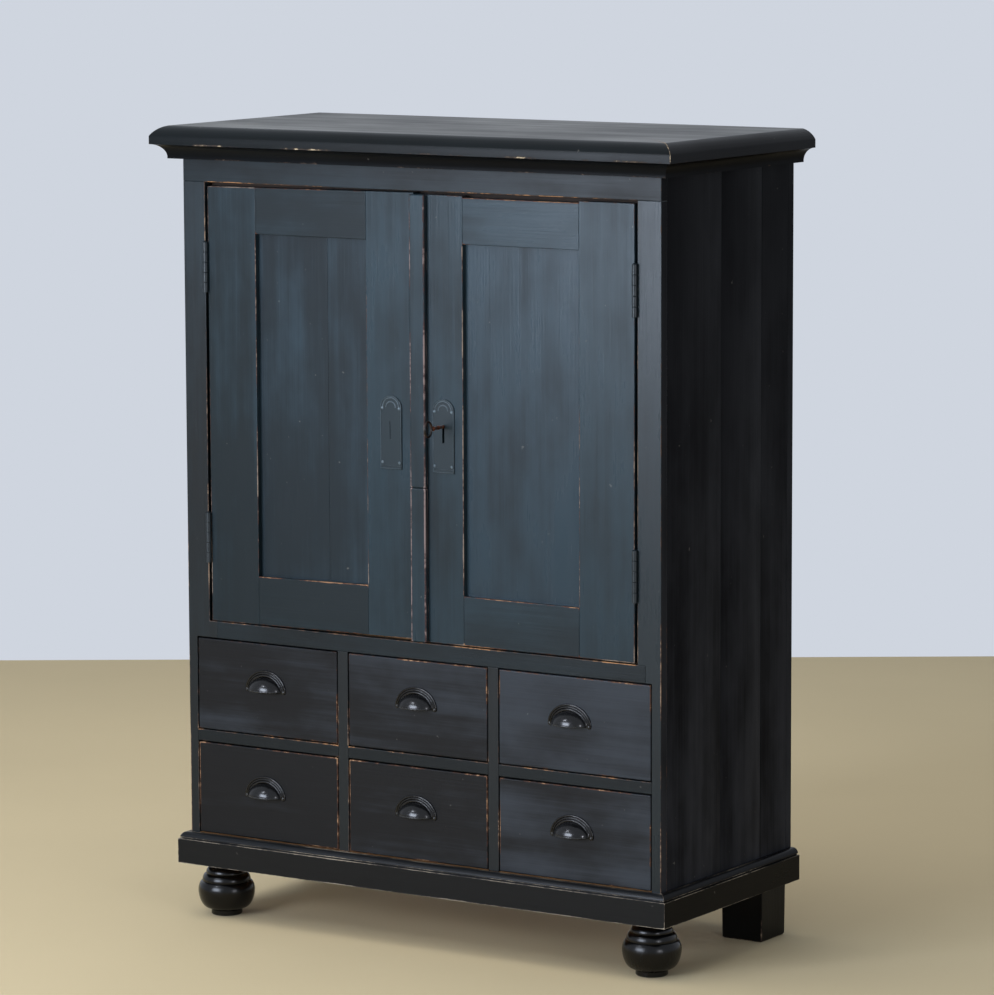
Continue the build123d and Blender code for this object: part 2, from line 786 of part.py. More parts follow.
# Lock bolt: a head that passes the case's edge and a forked tail round the key
bolt_x = (lock_x[0] - lock_inset + 0.5, lock_x[1] - lock_wall - bolt_throw)
fork_x = key_x - shank_radius - bolt_throw - bolt_clearance
with BuildPart() as lock_bolt:
    with BuildSketch(face_plane(bolt_y[1])):
        with Locations((sum(bolt_x) / 2, key_height)):
            Rectangle(bolt_x[1] - bolt_x[0], bolt_head_height)
        with Locations(((fork_x + bolt_x[1]) / 2, key_height)):
            Rectangle(bolt_x[1] - fork_x, 2 * (shank_radius + bolt_clearance), mode=Mode.SUBTRACT)
    extrude(amount=bolt_thickness)
save(lock_bolt.part, "lock_bolt")

# Key: an oval bow, a round shank and a flat bit inside the lock
shank_end = lock_front + lock_depth - lock_wall - running_gap
bit_y = (bolt_y[1] + running_gap, shank_end)
bow_middle_y = face - shank_length - bow_length / 2
with BuildPart() as key:
    with BuildSketch(face_plane(shank_end)):
        with Locations((key_x, key_height)):
            Circle(shank_radius)
    extrude(amount=shank_end - face + shank_length + bow_wire / 2)
    with BuildSketch(Plane.YZ.offset(key_x - bow_wire / 2)):
        with Locations((bow_middle_y, key_height)):
            Ellipse(bow_length / 2, bow_height / 2)
            Ellipse(bow_length / 2 - bow_wire, bow_height / 2 - bow_wire, mode=Mode.SUBTRACT)
    extrude(amount=bow_wire)
    with BuildSketch(Plane.YZ.offset(key_x - bit_thickness / 2)):
        with Locations((sum(bit_y) / 2, key_height - bit_length / 2)):
            Rectangle(bit_y[1] - bit_y[0], bit_length)
    extrude(amount=bit_thickness)
save(key.part, "key")

# Slide bolt that holds the left door at its head: a plate with two guides, and a rod with a knob
plate_front = face + left_door_setback + door_thickness
plate_top = door_head - stop_drop - slide_plate_drop
plate_foot = plate_top - slide_plate_length
guide_depth = slide_bolt_behind + slide_rod_radius + slide_plate_thickness
with BuildPart() as bolt_housing:
    with BuildSketch(face_plane(plate_front + slide_plate_thickness)):
        with Locations((slide_bolt_x, plate_top - slide_plate_length / 2)):
            Rectangle(slide_plate_width, slide_plate_length)
    extrude(amount=slide_plate_thickness)
    for guide_foot in (plate_foot + slide_plate_drop, plate_top - slide_plate_drop - guide_height):
        with BuildSketch(Plane.XY.offset(guide_foot)):
            with Locations((slide_bolt_x, plate_front + guide_depth / 2)):
                Rectangle(guide_width, guide_depth)
        extrude(amount=guide_height)
    with BuildSketch(Plane.XY.offset(plate_foot)):
        with Locations((slide_bolt_x, bolt_axis_y)):
            Circle(slide_rod_radius + running_gap)
    extrude(amount=slide_plate_length, mode=Mode.SUBTRACT)
save(bolt_housing.part, "bolt_housing")

knob_middle = (slide_bolt_x, plate_top - slide_plate_length / 2)
knob_front = bolt_axis_y + knob_neck
with BuildPart() as slide_bolt:
    with BuildSketch(Plane.XY.offset(door_head - stop_drop - slide_rod_length)):
        with Locations((slide_bolt_x, bolt_axis_y)):
            Circle(slide_rod_radius)
    extrude(amount=slide_rod_length)
    with BuildSketch(face_plane(knob_front)):
        with Locations(knob_middle):
            Circle(knob_radius / 2)
    extrude(amount=knob_neck)
    with BuildSketch(face_plane(knob_front + knob_length)):
        with Locations(knob_middle):
            Circle(knob_radius)
    extrude(amount=knob_length)
save(slide_bolt.part, "slide_bolt")


def make_drawer_front(column, row):
    """A flush drawer front, lapped at both ends for the sides and grooved for the bottom."""
    x_span = (column[0] + drawer_side_gap, column[1] - drawer_side_gap)
    z_span = (row[0] + drawer_foot_gap, row[1] - drawer_top_gap)
    middle_x = sum(x_span) / 2
    with BuildPart() as front:
        with BuildSketch(Plane.XY.offset(z_span[0])):
            with Locations((middle_x, face + frame_thickness / 2)):
                Rectangle(x_span[1] - x_span[0], frame_thickness)
            for x in (x_span[0] + drawer_side / 2, x_span[1] - drawer_side / 2):
                with Locations((x, face + frame_thickness - drawer_lap / 2)):
                    Rectangle(drawer_side, drawer_lap, mode=Mode.SUBTRACT)
        extrude(amount=z_span[1] - z_span[0])
        with BuildSketch(Plane.XY.offset(row[0] + drawer_bottom_lift)):
            with Locations((middle_x, face + frame_thickness - drawer_groove / 2)):
                Rectangle(x_span[1] - x_span[0], drawer_groove)
        extrude(amount=drawer_bottom, mode=Mode.SUBTRACT)
    return front.part


def make_drawer_box(column, row):
    """The rest of a drawer: two grooved sides, a back and a bottom let into the grooves."""
    x_span = (column[0] + drawer_side_gap, column[1] - drawer_side_gap)
    z_span = (row[0] + running_gap, row[1] - drawer_side_drop)
    bottom_z = (row[0] + drawer_bottom_lift, row[0] + drawer_bottom_lift + drawer_bottom)
    y_span = (face + frame_thickness - drawer_lap, face + drawer_length)
    parts = []
    for inwards, x in ((1, x_span[0]), (-1, x_span[1])):
        with BuildPart() as drawer_side_part:
            with BuildSketch(face_plane(y_span[1])):
                with Locations((x + inwards * drawer_side / 2, sum(z_span) / 2)):
                    Rectangle(drawer_side, z_span[1] - z_span[0])
                with Locations((x + inwards * (drawer_side - drawer_groove / 2), sum(bottom_z) / 2)):
                    Rectangle(drawer_groove, drawer_bottom, mode=Mode.SUBTRACT)
            extrude(amount=y_span[1] - y_span[0])
        parts.append(drawer_side_part.part)
    inside = (x_span[0] + drawer_side, x_span[1] - drawer_side)
    parts.append(make_board(inside, (y_span[1] - drawer_side, y_span[1]), (bottom_z[1], z_span[1])))
    bottom_x = (inside[0] - drawer_groove, inside[1] + drawer_groove)
    parts.append(make_board(bottom_x, (face + frame_thickness - drawer_groove, y_span[1]), bottom_z))
    return parts


def make_cup_pull(column, row, lift_share, shift):
    """A cup pull: stepped half-round rings and two ears, round a hollow cup open below."""
    x = sum(column) / 2 + shift
    base = row[0] + lift_share * (row[1] - row[0])
    ear_x = pull_width / 2 - pull_ear_radius
    with BuildPart() as pull:
        for ring in range(pull_ring_count):
            inset = ring * pull_ring_width
            with BuildSketch(face_plane(face)):
                with Locations((x, base)):
                    Ellipse(pull_width / 2 - inset, pull_height - inset)
                with Locations((x, base - pull_height / 2)):
                    Rectangle(pull_width, pull_height, mode=Mode.SUBTRACT)
            extrude(amount=pull_plate + ring * pull_ring_rise)
        with BuildSketch(face_plane(face)):
            with Locations((x - ear_x, base), (x + ear_x, base)):
                Circle(pull_ear_radius)
        extrude(amount=pull_plate)
        with BuildSketch(face_plane(face)):
            with Locations((x, base)):
                Ellipse(cup_half_width - cup_wall / 2, cup_reach - cup_wall / 2)
        extrude(amount=cup_reach, mode=Mode.SUBTRACT)
        with BuildSketch(face_plane(face)):
            for inset, mode in ((0, Mode.ADD), (cup_wall, Mode.SUBTRACT)):
                with BuildLine():
                    dome = EllipticalCenterArc((x, base), cup_half_width - inset, cup_reach - inset,
                                               start_angle=cup_end_angle, arc_size=180 - 2 * cup_end_angle)
                    Polyline(dome @ 0, ((dome @ 0).X, base), ((dome @ 1).X, base), dome @ 1)
                make_face(mode=mode)
        revolve(axis=Axis((x, face, base), (1, 0, 0)), revolution_arc=90)
    return pull.part


for row, row_name, lift_share, shifts in zip(rows, ("upper", "lower"), pull_lift_shares, pull_shifts):
    for column, column_name, shift in zip(columns, ("left", "middle", "right"), shifts):
        name = f"{row_name}_{column_name}_drawer"
        save(make_drawer_front(column, row), f"{name}_front")
        save_group(make_drawer_box(column, row), f"{name}_box")
        save(make_cup_pull(column, row, lift_share, shift), f"{name}_pull")
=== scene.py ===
"""Looks for a black-painted pine cupboard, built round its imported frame.

Metres, +Z up, the front faces -Y. Every piece keeps its place in its mesh.
"""
import cmath
import logging
import math
from dataclasses import dataclass, field, replace
from enum import Enum
from functools import cache, partial
from typing import Callable, Sequence

import bmesh
import bpy
from mathutils import Matrix, Vector


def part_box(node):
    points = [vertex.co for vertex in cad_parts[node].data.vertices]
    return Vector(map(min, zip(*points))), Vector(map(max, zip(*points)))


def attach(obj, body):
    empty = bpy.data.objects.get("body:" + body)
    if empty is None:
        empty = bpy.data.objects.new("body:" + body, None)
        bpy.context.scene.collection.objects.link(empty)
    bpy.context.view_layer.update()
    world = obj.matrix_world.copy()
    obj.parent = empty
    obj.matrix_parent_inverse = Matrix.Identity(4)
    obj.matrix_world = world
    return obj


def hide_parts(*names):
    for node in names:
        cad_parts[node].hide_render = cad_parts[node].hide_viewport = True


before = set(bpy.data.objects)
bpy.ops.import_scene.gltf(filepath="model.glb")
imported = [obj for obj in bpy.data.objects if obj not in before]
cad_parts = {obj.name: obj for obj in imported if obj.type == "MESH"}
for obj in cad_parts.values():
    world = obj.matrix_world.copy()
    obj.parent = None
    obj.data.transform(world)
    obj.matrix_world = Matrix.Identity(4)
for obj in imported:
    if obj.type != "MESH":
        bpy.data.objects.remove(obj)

log = logging.getLogger("cupboard")
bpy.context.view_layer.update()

Point = tuple[float, float]
Triple = tuple[float, float, float]
Mesh = bpy.types.Mesh
Body = bmesh.types.BMesh
Node = bpy.types.Node
Socket = bpy.types.NodeSocket
AddNode = Callable[..., Node]
made_materials: dict[str, bpy.types.Material] = {}
# What the paint reads at each point: wear, the board's shift of the grain, and its tone, which
# lightens and darkens whole pieces as painted sheen and shade
paint_layers = ("rub", "board", "tone")
# Points nearer than this, in metres, are one point
merge_distance = 1e-6
# Turns of an upright axis that point it at the front and at the back
to_front = (math.pi / 2, 0.0, 0.0)
to_back = (-math.pi / 2, 0.0, 0.0)


class Grain(Enum):
    """Which way a board's fibres run."""

    ACROSS = 0
    DEEP = 1
    UPRIGHT = 2


class Side(Enum):
    """Which door, with its place left or right of the middle."""

    LEFT = -1
    RIGHT = 1


def linear(hex_colour: str) -> tuple[float, float, float, float]:
    """Turns an sRGB hex colour into the linear colour that a shader reads.

    Args:
        hex_colour: a colour such as "#1a1c1f".

    Returns:
        Red, green, blue and a full alpha.
    """
    shares = [int(hex_colour[i:i + 2], 16) / 255 for i in (1, 3, 5)]
    red, green, blue = (s / 12.92 if s <= 0.04045 else ((s + 0.055) / 1.055) ** 2.4 for s in shares)
    return red, green, blue, 1.0


def fill(tree: bpy.types.NodeTree, node: Node, inputs: dict) -> None:
    """Sets or links some inputs of a node.

    Args:
        tree: the node's tree.
        node: the node.
        inputs: for each input's name or number, a value, a hex colour, a socket or a node.
    """
    for key, value in inputs.items():
        if isinstance(value, str) and value.startswith("#"):
            value = linear(value)
        if isinstance(value, Node):
            value = next(output for output in value.outputs if output.enabled)
        if isinstance(value, Socket):
            tree.links.new(value, node.inputs[key])
        else:
            node.inputs[key].default_value = value


def add_node(tree: bpy.types.NodeTree, kind: str, inputs: dict | None = None,
             **settings: object) -> Node:
    """Adds a node with its settings, and sets or links its inputs.

    Args:
        tree: the tree that gets the node.
        kind: the node's type name.
        inputs: what its inputs get, as in fill.
        **settings: the node's own properties.

    Returns:
        The new node.
    """
    node = tree.nodes.new(kind)
    for name, value in settings.items():
        setattr(node, name, value)
    fill(tree, node, inputs or {})
    return node


# Finishes


@dataclass(frozen=True)
class Finish:
    """What a surface is made of and how it was worked."""

    name: str

    def material(self) -> bpy.types.Material:
        """Makes the finish's material the first time, and hands it out after that.

        Returns:
            The material.
        """
        if self.name not in made_materials:
            material = bpy.data.materials.new(self.name)
            material.use_nodes = True
            tree = material.node_tree
            fill(tree, tree.nodes["Principled BSDF"], self.look(partial(add_node, tree)))
            made_materials[self.name] = material
        return made_materials[self.name]

    def look(self, add: AddNode) -> dict[str, object]:
        """Adds the pattern's nodes and gives what the shader's inputs get, in each kind of finish."""
        raise NotImplementedError


@dataclass(frozen=True)
class Wood(Finish):
    """Any pine surface, whose patterns are drawn out along the fibres."""

    grain: Grain = Grain.UPRIGHT
    end_grain: Grain | None = None

    def streaks(self, add: AddNode, across: float, along: float, detail: float = 2.0) -> Node:
        """A noise drawn out along the fibres, different on each board.

        Args:
            add: adds to the material's tree.
            across: width of one streak in metres.
            along: length of one streak in metres.
            detail: how many finer layers it has.

        Returns:
            The noise node.
        """
        place = add("ShaderNodeTexCoord")
        board = add("ShaderNodeAttribute", attribute_name="board")
        moved = add("ShaderNodeVectorMath",
                    {0: place.outputs["Object"], 1: board.outputs["Fac"]}, operation="ADD")
        stretches = []
        for grain in (self.grain, self.end_grain or self.grain):
            stretch = [1 / across] * 3
            stretch[grain.value] = 1 / along
            stretches.append(stretch)
        scaled = add("ShaderNodeVectorMath", {0: moved, 1: stretches[0]}, operation="MULTIPLY")
        if self.end_grain:
            # A box's front and back boards run across its sides
            facing = add("ShaderNodeSeparateXYZ", {0: place.outputs["Normal"]})
            ends = add("ShaderNodeMath", {0: facing.outputs["Y"]}, operation="ABSOLUTE")
            is_end = add("ShaderNodeMath", {0: ends, 1: 0.5}, operation="GREATER_THAN")
            turned = add("ShaderNodeVectorMath", {0: moved, 1: stretches[1]}, operation="MULTIPLY")
            scaled = add("ShaderNodeMix", {0: is_end, 4: scaled, 5: turned}, data_type="VECTOR")
        return add("ShaderNodeTexNoise",
                   {"Vector": scaled, "Scale": 1.0, "Detail": detail, "Roughness": 0.6})


@dataclass(frozen=True)
class PaintedPine(Wood):
    """Satin black paint brushed on old pine: near black, with a blue-grey bloom and rubbed arrises.

    The blue-grey is partly the paint's bloom and partly a painted sheen of the window's light. The
    brush and the fibres under it leave fine lines that break up the gloss. The low share is how much of
    the bloom and sheen is left near the floor: below one it paints shade low down, above one it paints
    light thrown up from the floor. chip, patch and dent are the sizes of marks in metres.
    """

    paint: str = "#1c1f23"
    bloom_and_sheen: str = "#3d464d"
    bloom_and_sheen_share: float = 0.7
    painted_light_low_share: float = 0.45
    roughness: float = 0.42
    gloss: float = 0.5
    rubbed: float = 0.5
    primer: str = "#4f2a1c"
    bare: str = "#a87650"
    dented: str = "#8d8a84"
    chip: float = 0.012
    patch: float = 0.11
    dent: float = 0.018

    def sound_paint(self, add: AddNode, place: Socket, lined: Node) -> Node:
        """The colour of sound paint, with its bloom, its painted sheen and shade by height, and a few pale
        dents.

        Args:
            add: adds to the material's tree.
            place: the place on the object.
            lined: the pattern of light and dark.

        Returns:
            The node that holds the colour.
        """
        level = add("ShaderNodeSeparateXYZ", {0: place}).outputs["Z"]
        # Painted light and shade by height: the bloom and sheen run from the low share near the floor
        # to their full share near the top
        shown = add("ShaderNodeMapRange", {"Value": level, "From Min": 0.1, "From Max": 1.3,
                                           "To Min": self.painted_light_low_share * self.bloom_and_sheen_share,
                                           "To Max": self.bloom_and_sheen_share})
        bloom_and_sheen = add("ShaderNodeMapRange", {"Value": lined, "From Min": 0.6, "From Max": 1.1,
                                           "To Max": shown}, interpolation_type="SMOOTHSTEP")
        painted = add("ShaderNodeMix", {0: bloom_and_sheen, 6: self.paint, 7: self.bloom_and_sheen}, data_type="RGBA")
        dents = add("ShaderNodeTexNoise",
                    {"Vector": place, "Scale": 1 / self.dent, "Detail": 2.0, "Roughness": 0.9})
        pale = add("ShaderNodeMapRange",
                   {"Value": dents, "From Min": 0.73, "From Max": 0.79, "To Max": 0.25})
        return add("ShaderNodeMix", {0: pale, 6: painted, 7: self.dented}, data_type="RGBA")

    def wear(self, add: AddNode, place: Socket) -> list[Node]:
        """Where the arrises are rubbed to the primer, and where right through to the wood.

        Args:
            add: adds to the material's tree.
            place: the place on the object.

        Returns:
            The nodes that hold the share of primer and of bare wood.
        """
        arris = add("ShaderNodeAttribute", attribute_name="rub")
        chips = add("ShaderNodeTexNoise",
                    {"Vector": place, "Scale": 1 / self.chip, "Detail": 6.0, "Roughness": 0.7})
        patches = add("ShaderNodeTexNoise", {"Vector": place, "Scale": 1 / self.patch, "Detail": 3.0})
        chipped = add("ShaderNodeMath",
                      {0: chips, 1: 1.1, 2: arris.outputs["Fac"]}, operation="MULTIPLY_ADD")
        worn = add("ShaderNodeMath", {0: patches, 1: 1.3, 2: chipped}, operation="MULTIPLY_ADD")
        # The paint is gone where both noises and the arris add up to more than this
        edge = 2.2 + 0.8 * (0.5 - self.rubbed)
        return [add("ShaderNodeMapRange",
                    {"Value": worn, "From Min": low, "From Max": high}, interpolation_type="SMOOTHSTEP")
                for low, high in ((edge - 0.16, edge), (edge, edge + 0.14))]

    def look(self, add: AddNode) -> dict[str, object]:
        """Adds the bloom, the brush lines and the rubbed arrises.

        Args:
            add: adds to the material's tree.

        Returns:
            What the shader's inputs get.
        """
        place = add("ShaderNodeTexCoord").outputs["Object"]
        # Lines 3 mm apart stand for pine's finer ones, which would not show
        fibre = self.streaks(add, 0.003, 0.16, 3.0)
        figure = self.streaks(add, 0.03, 0.6)
        cloud = self.streaks(add, 0.15, 0.3, 4.0)
        mixed = add("ShaderNodeMath", {0: figure, 1: 0.5, 2: cloud}, operation="MULTIPLY_ADD")
        # The tone lightens and darkens whole pieces: painted sheen where the window's light falls, painted
        # shade low down and under the top
        tone = add("ShaderNodeAttribute", attribute_name="tone")
        toned = add("ShaderNodeMath", {0: mixed, 1: tone.outputs["Fac"]}, operation="ADD")
        lined = add("ShaderNodeMath", {0: fibre, 1: 0.2, 2: toned}, operation="MULTIPLY_ADD")
        sound = self.sound_paint(add, place, lined)
        fringe, through = self.wear(add, place)
        primed = add("ShaderNodeMix", {0: fringe, 6: sound, 7: self.primer}, data_type="RGBA")
        colour = add("ShaderNodeMix", {0: through, 6: primed, 7: self.bare}, data_type="RGBA")
        sheen = add("ShaderNodeMapRange", {"Value": lined, "From Min": 0.55, "From Max": 1.15,
                                           "To Min": self.roughness + 0.1, "To Max": self.roughness - 0.08})
        rough = add("ShaderNodeMix", {0: fringe, 2: sheen, 3: 0.7})
        ridges = add("ShaderNodeMath", {0: fringe, 1: -0.9, 2: fibre}, operation="MULTIPLY_ADD")
        bump = add("ShaderNodeBump", {"Strength": 0.35, "Distance": 0.0005, "Height": ridges})
        return {"Base Color": colour, "Roughness": rough, "Normal": bump, "Specular IOR Level": self.gloss}


@dataclass(frozen=True)
class BarePine(Wood):
    """Unpainted planed pine gone brown with age: honey bands of early and late wood, dull and dry.

    The bands are the 11 mm that growth rings spread to on a flat-sawn board.
    """

    early: str = "#ab8459"
    late: str = "#87603a"
    stained: str = "#4a3524"

    def look(self, add: AddNode) -> dict[str, object]:
        """Adds growth bands, fine fibres and a few darker stains.

        Args:
            add: adds to the material's tree.

        Returns:
            What the shader's inputs get.
        """
        bands = self.streaks(add, 0.011, 0.6)
        fibre = self.streaks(add, 0.002, 0.09, 3.0)
        stain = self.streaks(add, 0.12, 0.2, 4.0)
        ringed = add("ShaderNodeMath", {0: fibre, 1: 0.35, 2: bands}, operation="MULTIPLY_ADD")
        late = add("ShaderNodeMapRange", {"Value": ringed, "From Min": 0.5, "From Max": 0.9})
        toned = add("ShaderNodeMix", {0: late, 6: self.early, 7: self.late}, data_type="RGBA")
        dirty = add("ShaderNodeMapRange",
                    {"Value": stain, "From Min": 0.5, "From Max": 0.95, "To Max": 0.5})
        colour = add("ShaderNodeMix", {0: dirty, 6: toned, 7: self.stained}, data_type="RGBA")
        bump = add("ShaderNodeBump", {"Strength": 0.3, "Distance": 0.0004, "Height": ringed})
        return {"Base Color": colour, "Roughness": 0.72, "Normal": bump, "Specular IOR Level": 0.3}


@dataclass(frozen=True)
class Iron(Finish):
    """Cast or forged metal under paint, lacquer or rust: fine pits, and brown where the cover is off.

    pit and spot are the sizes of marks in metres. The rub attribute brings out the polish colour: worn
    polish on the key, and a painted highlight on the raised ribs, studs and lips of plates and pulls.
    """

    cover: str = "#0e0f11"
    under: str = "#4a3a30"
    polish_and_highlight: str = "#2a2c2e"
    rust_share: float = 0.15
    metallic: float = 0.0
    roughness: float = 0.3
    coat: float = 0.0
    grit: float = 0.25
    gloss: float = 0.38
    pit: float = 0.0025
    spot: float = 0.009

    def look(self, add: AddNode) -> dict[str, object]:
        """Adds pits, rubbed spots and uneven gloss.

        Args:
            add: adds to the material's tree.

        Returns:
            What the shader's inputs get.
        """
        place = add("ShaderNodeTexCoord").outputs["Object"]
        grit = add("ShaderNodeTexNoise",
                   {"Vector": place, "Scale": 1 / self.pit, "Detail": 3.0, "Roughness": 0.6})
        spots = add("ShaderNodeTexNoise",
                    {"Vector": place, "Scale": 1 / self.spot, "Detail": 4.0, "Roughness": 0.65})
        # The more rust there is, the less a spot must stand out to show it
        edge = 0.72 - 0.45 * self.rust_share
        rust = add("ShaderNodeMapRange", {"Value": spots, "From Min": edge, "From Max": edge + 0.12},
                   interpolation_type="SMOOTHSTEP")
        aged = add("ShaderNodeMix", {0: rust, 6: self.cover, 7: self.under}, data_type="RGBA")
        high = add("ShaderNodeAttribute", attribute_name="rub")
        uneven = add("ShaderNodeMapRange",
                     {"Value": spots, "From Min": 0.35, "From Max": 0.55, "To Min": 0.5})
        polish_and_highlight_share = add("ShaderNodeMath", {0: high.outputs["Fac"], 1: uneven}, operation="MULTIPLY")
        colour = add("ShaderNodeMix", {0: polish_and_highlight_share, 6: aged, 7: self.polish_and_highlight}, data_type="RGBA")
        rough = add("ShaderNodeMapRange", {"Value": grit, "From Min": 0.3, "From Max": 0.7,
                                           "To Min": self.roughness - 0.2 * self.grit,
                                           "To Max": self.roughness + 0.4 * self.grit})
        bump = add("ShaderNodeBump", {"Strength": self.grit, "Distance": 0.0002, "Height": grit})
        return {"Base Color": colour, "Roughness": rough, "Normal": bump,
                "Specular IOR Level": self.gloss, "Metallic": self.metallic, "Coat Weight": self.coat,
                "Coat Roughness": 0.12}


@dataclass(frozen=True)
class Plaster(Finish):
    """Matt painted floor of the studio: one pale colour with a faint unevenness."""

    colour: str = "#c2b392"

    def look(self, add: AddNode) -> dict[str, object]:
        """Adds the faint unevenness.

        Args:
            add: adds to the material's tree.

        Returns:
            What the shader's inputs get.
        """
        place = add("ShaderNodeTexCoord").outputs["Object"]
        uneven = add("ShaderNodeTexNoise", {"Vector": place, "Scale": 1 / 0.7, "Detail": 3.0})
        tone = add("ShaderNodeMapRange", {"Value": uneven, "To Min": 0.94, "To Max": 1.06})
        colour = add("ShaderNodeVectorMath", {0: linear(self.colour)[:3], "Scale": tone}, operation="SCALE")
        return {"Base Color": colour, "Roughness": 0.85, "Specular IOR Level": 0.2}


# Black paint brushed along the stiles: satin, with a faint blue bloom that is partly a painted sheen of
# the window's light, and grey-brown wood at the arrises
case_upright = PaintedPine("case_paint_upright", paint="#0b1114", bloom_and_sheen="#2c373e",
                           roughness=0.33, gloss=0.29, painted_light_low_share=0.3, primer="#45352c",
                           bare="#8a7562")
# The same paint on the rails, where hands wear it to a warmer wood
case_level = replace(case_upright, name="case_paint_level", grain=Grain.ACROSS, gloss=0.22, bare="#a0754f")
# Flat black paint on the sides, never waxed: dull. It is painted darker than the front, a painted shade
# where the window's light doesn't fall, and its bloom near the floor is painted light thrown up from the
# floor
side_finish = PaintedPine("side_paint_upright", paint="#07080c", bloom_and_sheen="#2e3036",
                          bloom_and_sheen_share=0.06, painted_light_low_share=15.0, roughness=0.5, gloss=0.035, rubbed=0.4)
# The doors are painted bluer and lighter than the rest, the paint's bloom and a painted sheen of the
# window's light, so they look slate blue
door_upright = PaintedPine("door_paint_upright", paint="#0f1a1f", bloom_and_sheen="#33444e",
                           roughness=0.31, gloss=0.23, rubbed=0.47, painted_light_low_share=0.4, primer="#45302a",
                           bare="#85786c")
door_level = replace(door_upright, name="door_paint_level", grain=Grain.ACROSS, primer="#4f2a1c",
                     bare="#8f6e52")
# The sunk panels are out of reach of hands, so they keep their arrises; their lighter blue is more of
# the painted sheen
panel_finish = replace(door_upright, name="panel_paint_upright", paint="#101b21", bloom_and_sheen="#374853", rubbed=0.3)
# The strip over the gap is knocked each time a door opens, down to a greyish wood
strip_finish = replace(door_upright, name="strip_paint_upright", rubbed=0.52, primer="#40302f",
                       bare="#7e6f6c")
# The drawers: neutral black with a grey bloom, less blue than the doors as less of the painted sheen
# reaches so low, and pale wood along the top arris
drawer_finish = PaintedPine("drawer_paint_level", Grain.ACROSS, paint="#08090c", bloom_and_sheen="#383e46",
                            painted_light_low_share=1.0, roughness=0.35, gloss=0.21, rubbed=0.43, primer="#452c20",
                            bare="#957458")
# Planed mouldings under the same black: the bends catch a narrow gleam and lose their paint first
moulding_finish = PaintedPine("moulding_paint_worn", Grain.ACROSS, paint="#08090b", bloom_and_sheen="#191d21",
                              roughness=0.33, gloss=0.2, primer="#3a302a", bare="#978775")
# On the plinth the rubbed lines are grey-beige: worn wood, and a painted highlight along the lit edges
plinth_finish = replace(moulding_finish, name="plinth_paint_worn", rubbed=0.66, primer="#453f39",
                        bare="#8f8678")
# The cove faces down under the top: its darker bloom is painted shade
cove_finish = replace(moulding_finish, name="cove_paint_worn", gloss=0.06, bloom_and_sheen="#101316")
# The nosing is painted darker than the other mouldings: painted shade on its rounded top
nosing_finish = replace(moulding_finish, name="nosing_paint_worn", gloss=0.16, paint="#040708",
                        bloom_and_sheen="#0e1417", bare="#b5a488")
# The flat of the top is dusted and wiped, so its paint is greyer and duller than the rest
top_finish = PaintedPine("top_paint_level", Grain.ACROSS, paint="#2a2c2d", bloom_and_sheen="#4e5050",
                         bloom_and_sheen_share=0.9, roughness=0.46, bare="#b8946a")
# Turned feet, painted while they spun: the smoothest and blackest surface, with small bright lights
foot_finish = PaintedPine("foot_paint_turned", paint="#030303", bloom_and_sheen="#08090a",
                          roughness=0.21, gloss=0.29, rubbed=0.2)
# Sawn blocks behind, painted once and scuffed at the floor: flat black with brown corners
rear_foot_finish = replace(foot_finish, name="rear_foot_paint", roughness=0.42, rubbed=0.5, gloss=0.15,
                           primer="#3a302a", bare="#8a7a66")
# Pressed brass painted over with the door: smooth paint, blue-grey like the doors' painted sheen, and
# lighter on the raised ribs and studs, a painted highlight
plate_finish = Iron("painted_brass_plate", cover="#1a262c", under="#2b3840", polish_and_highlight="#627079",
                    rust_share=0.2, roughness=0.3, grit=0.05, gloss=0.3)
# Steel hinges under the door's paint, with a little rust in the joints
hinge_finish = Iron("painted_iron_hinge", cover="#1b2328", under="#3a342f", polish_and_highlight="#343d43",
                    rust_share=0.2, roughness=0.34, grit=0.1)
# Cast iron dipped in black lacquer: jet black, with a hard gloss over the fine grit of the mould, and a
# painted highlight in a lighter grey on the lip and the screw heads
pull_finish = Iron("lacquered_iron_pull", cover="#030304", under="#0a0a0c", polish_and_highlight="#24272a",
                   rust_share=0.3, roughness=0.2, coat=0.12)
# Old steel gone brown with thin rust and worn nearly black where fingers hold it
key_finish = Iron("rusty_steel_key", cover="#4e3022", under="#8e4a2a", polish_and_highlight="#14100e", rust_share=0.4,
                  metallic=0.4, roughness=0.28, coat=0.3)
# Black iron out of sight in the lock: dull, with brown rust spots
lock_finish = Iron("black_iron_lock", cover="#101114", under="#4a3426", rust_share=0.4, roughness=0.45)
bare_upright = BarePine("bare_pine_upright")
bare_level = BarePine("bare_pine_level", Grain.ACROSS)
bare_deep = BarePine("bare_pine_deep", Grain.DEEP)
bare_box = BarePine("bare_pine_box", Grain.DEEP, Grain.ACROSS)
# The stop behind the doors is painted dark brown, a painted shade, so that it reads as the dark gap
# round the doors
gap_shade_level = BarePine("stained_pine_level", Grain.ACROSS, early="#2e2118", late="#1c1510")


# Meshes


def rubbed_bare(place: Vector) -> float:
    """Every arris gets its whole share of wear."""
    return 1.0


def unrubbed(place: Vector) -> float:
    """Every arris keeps its paint."""
    return 0.0


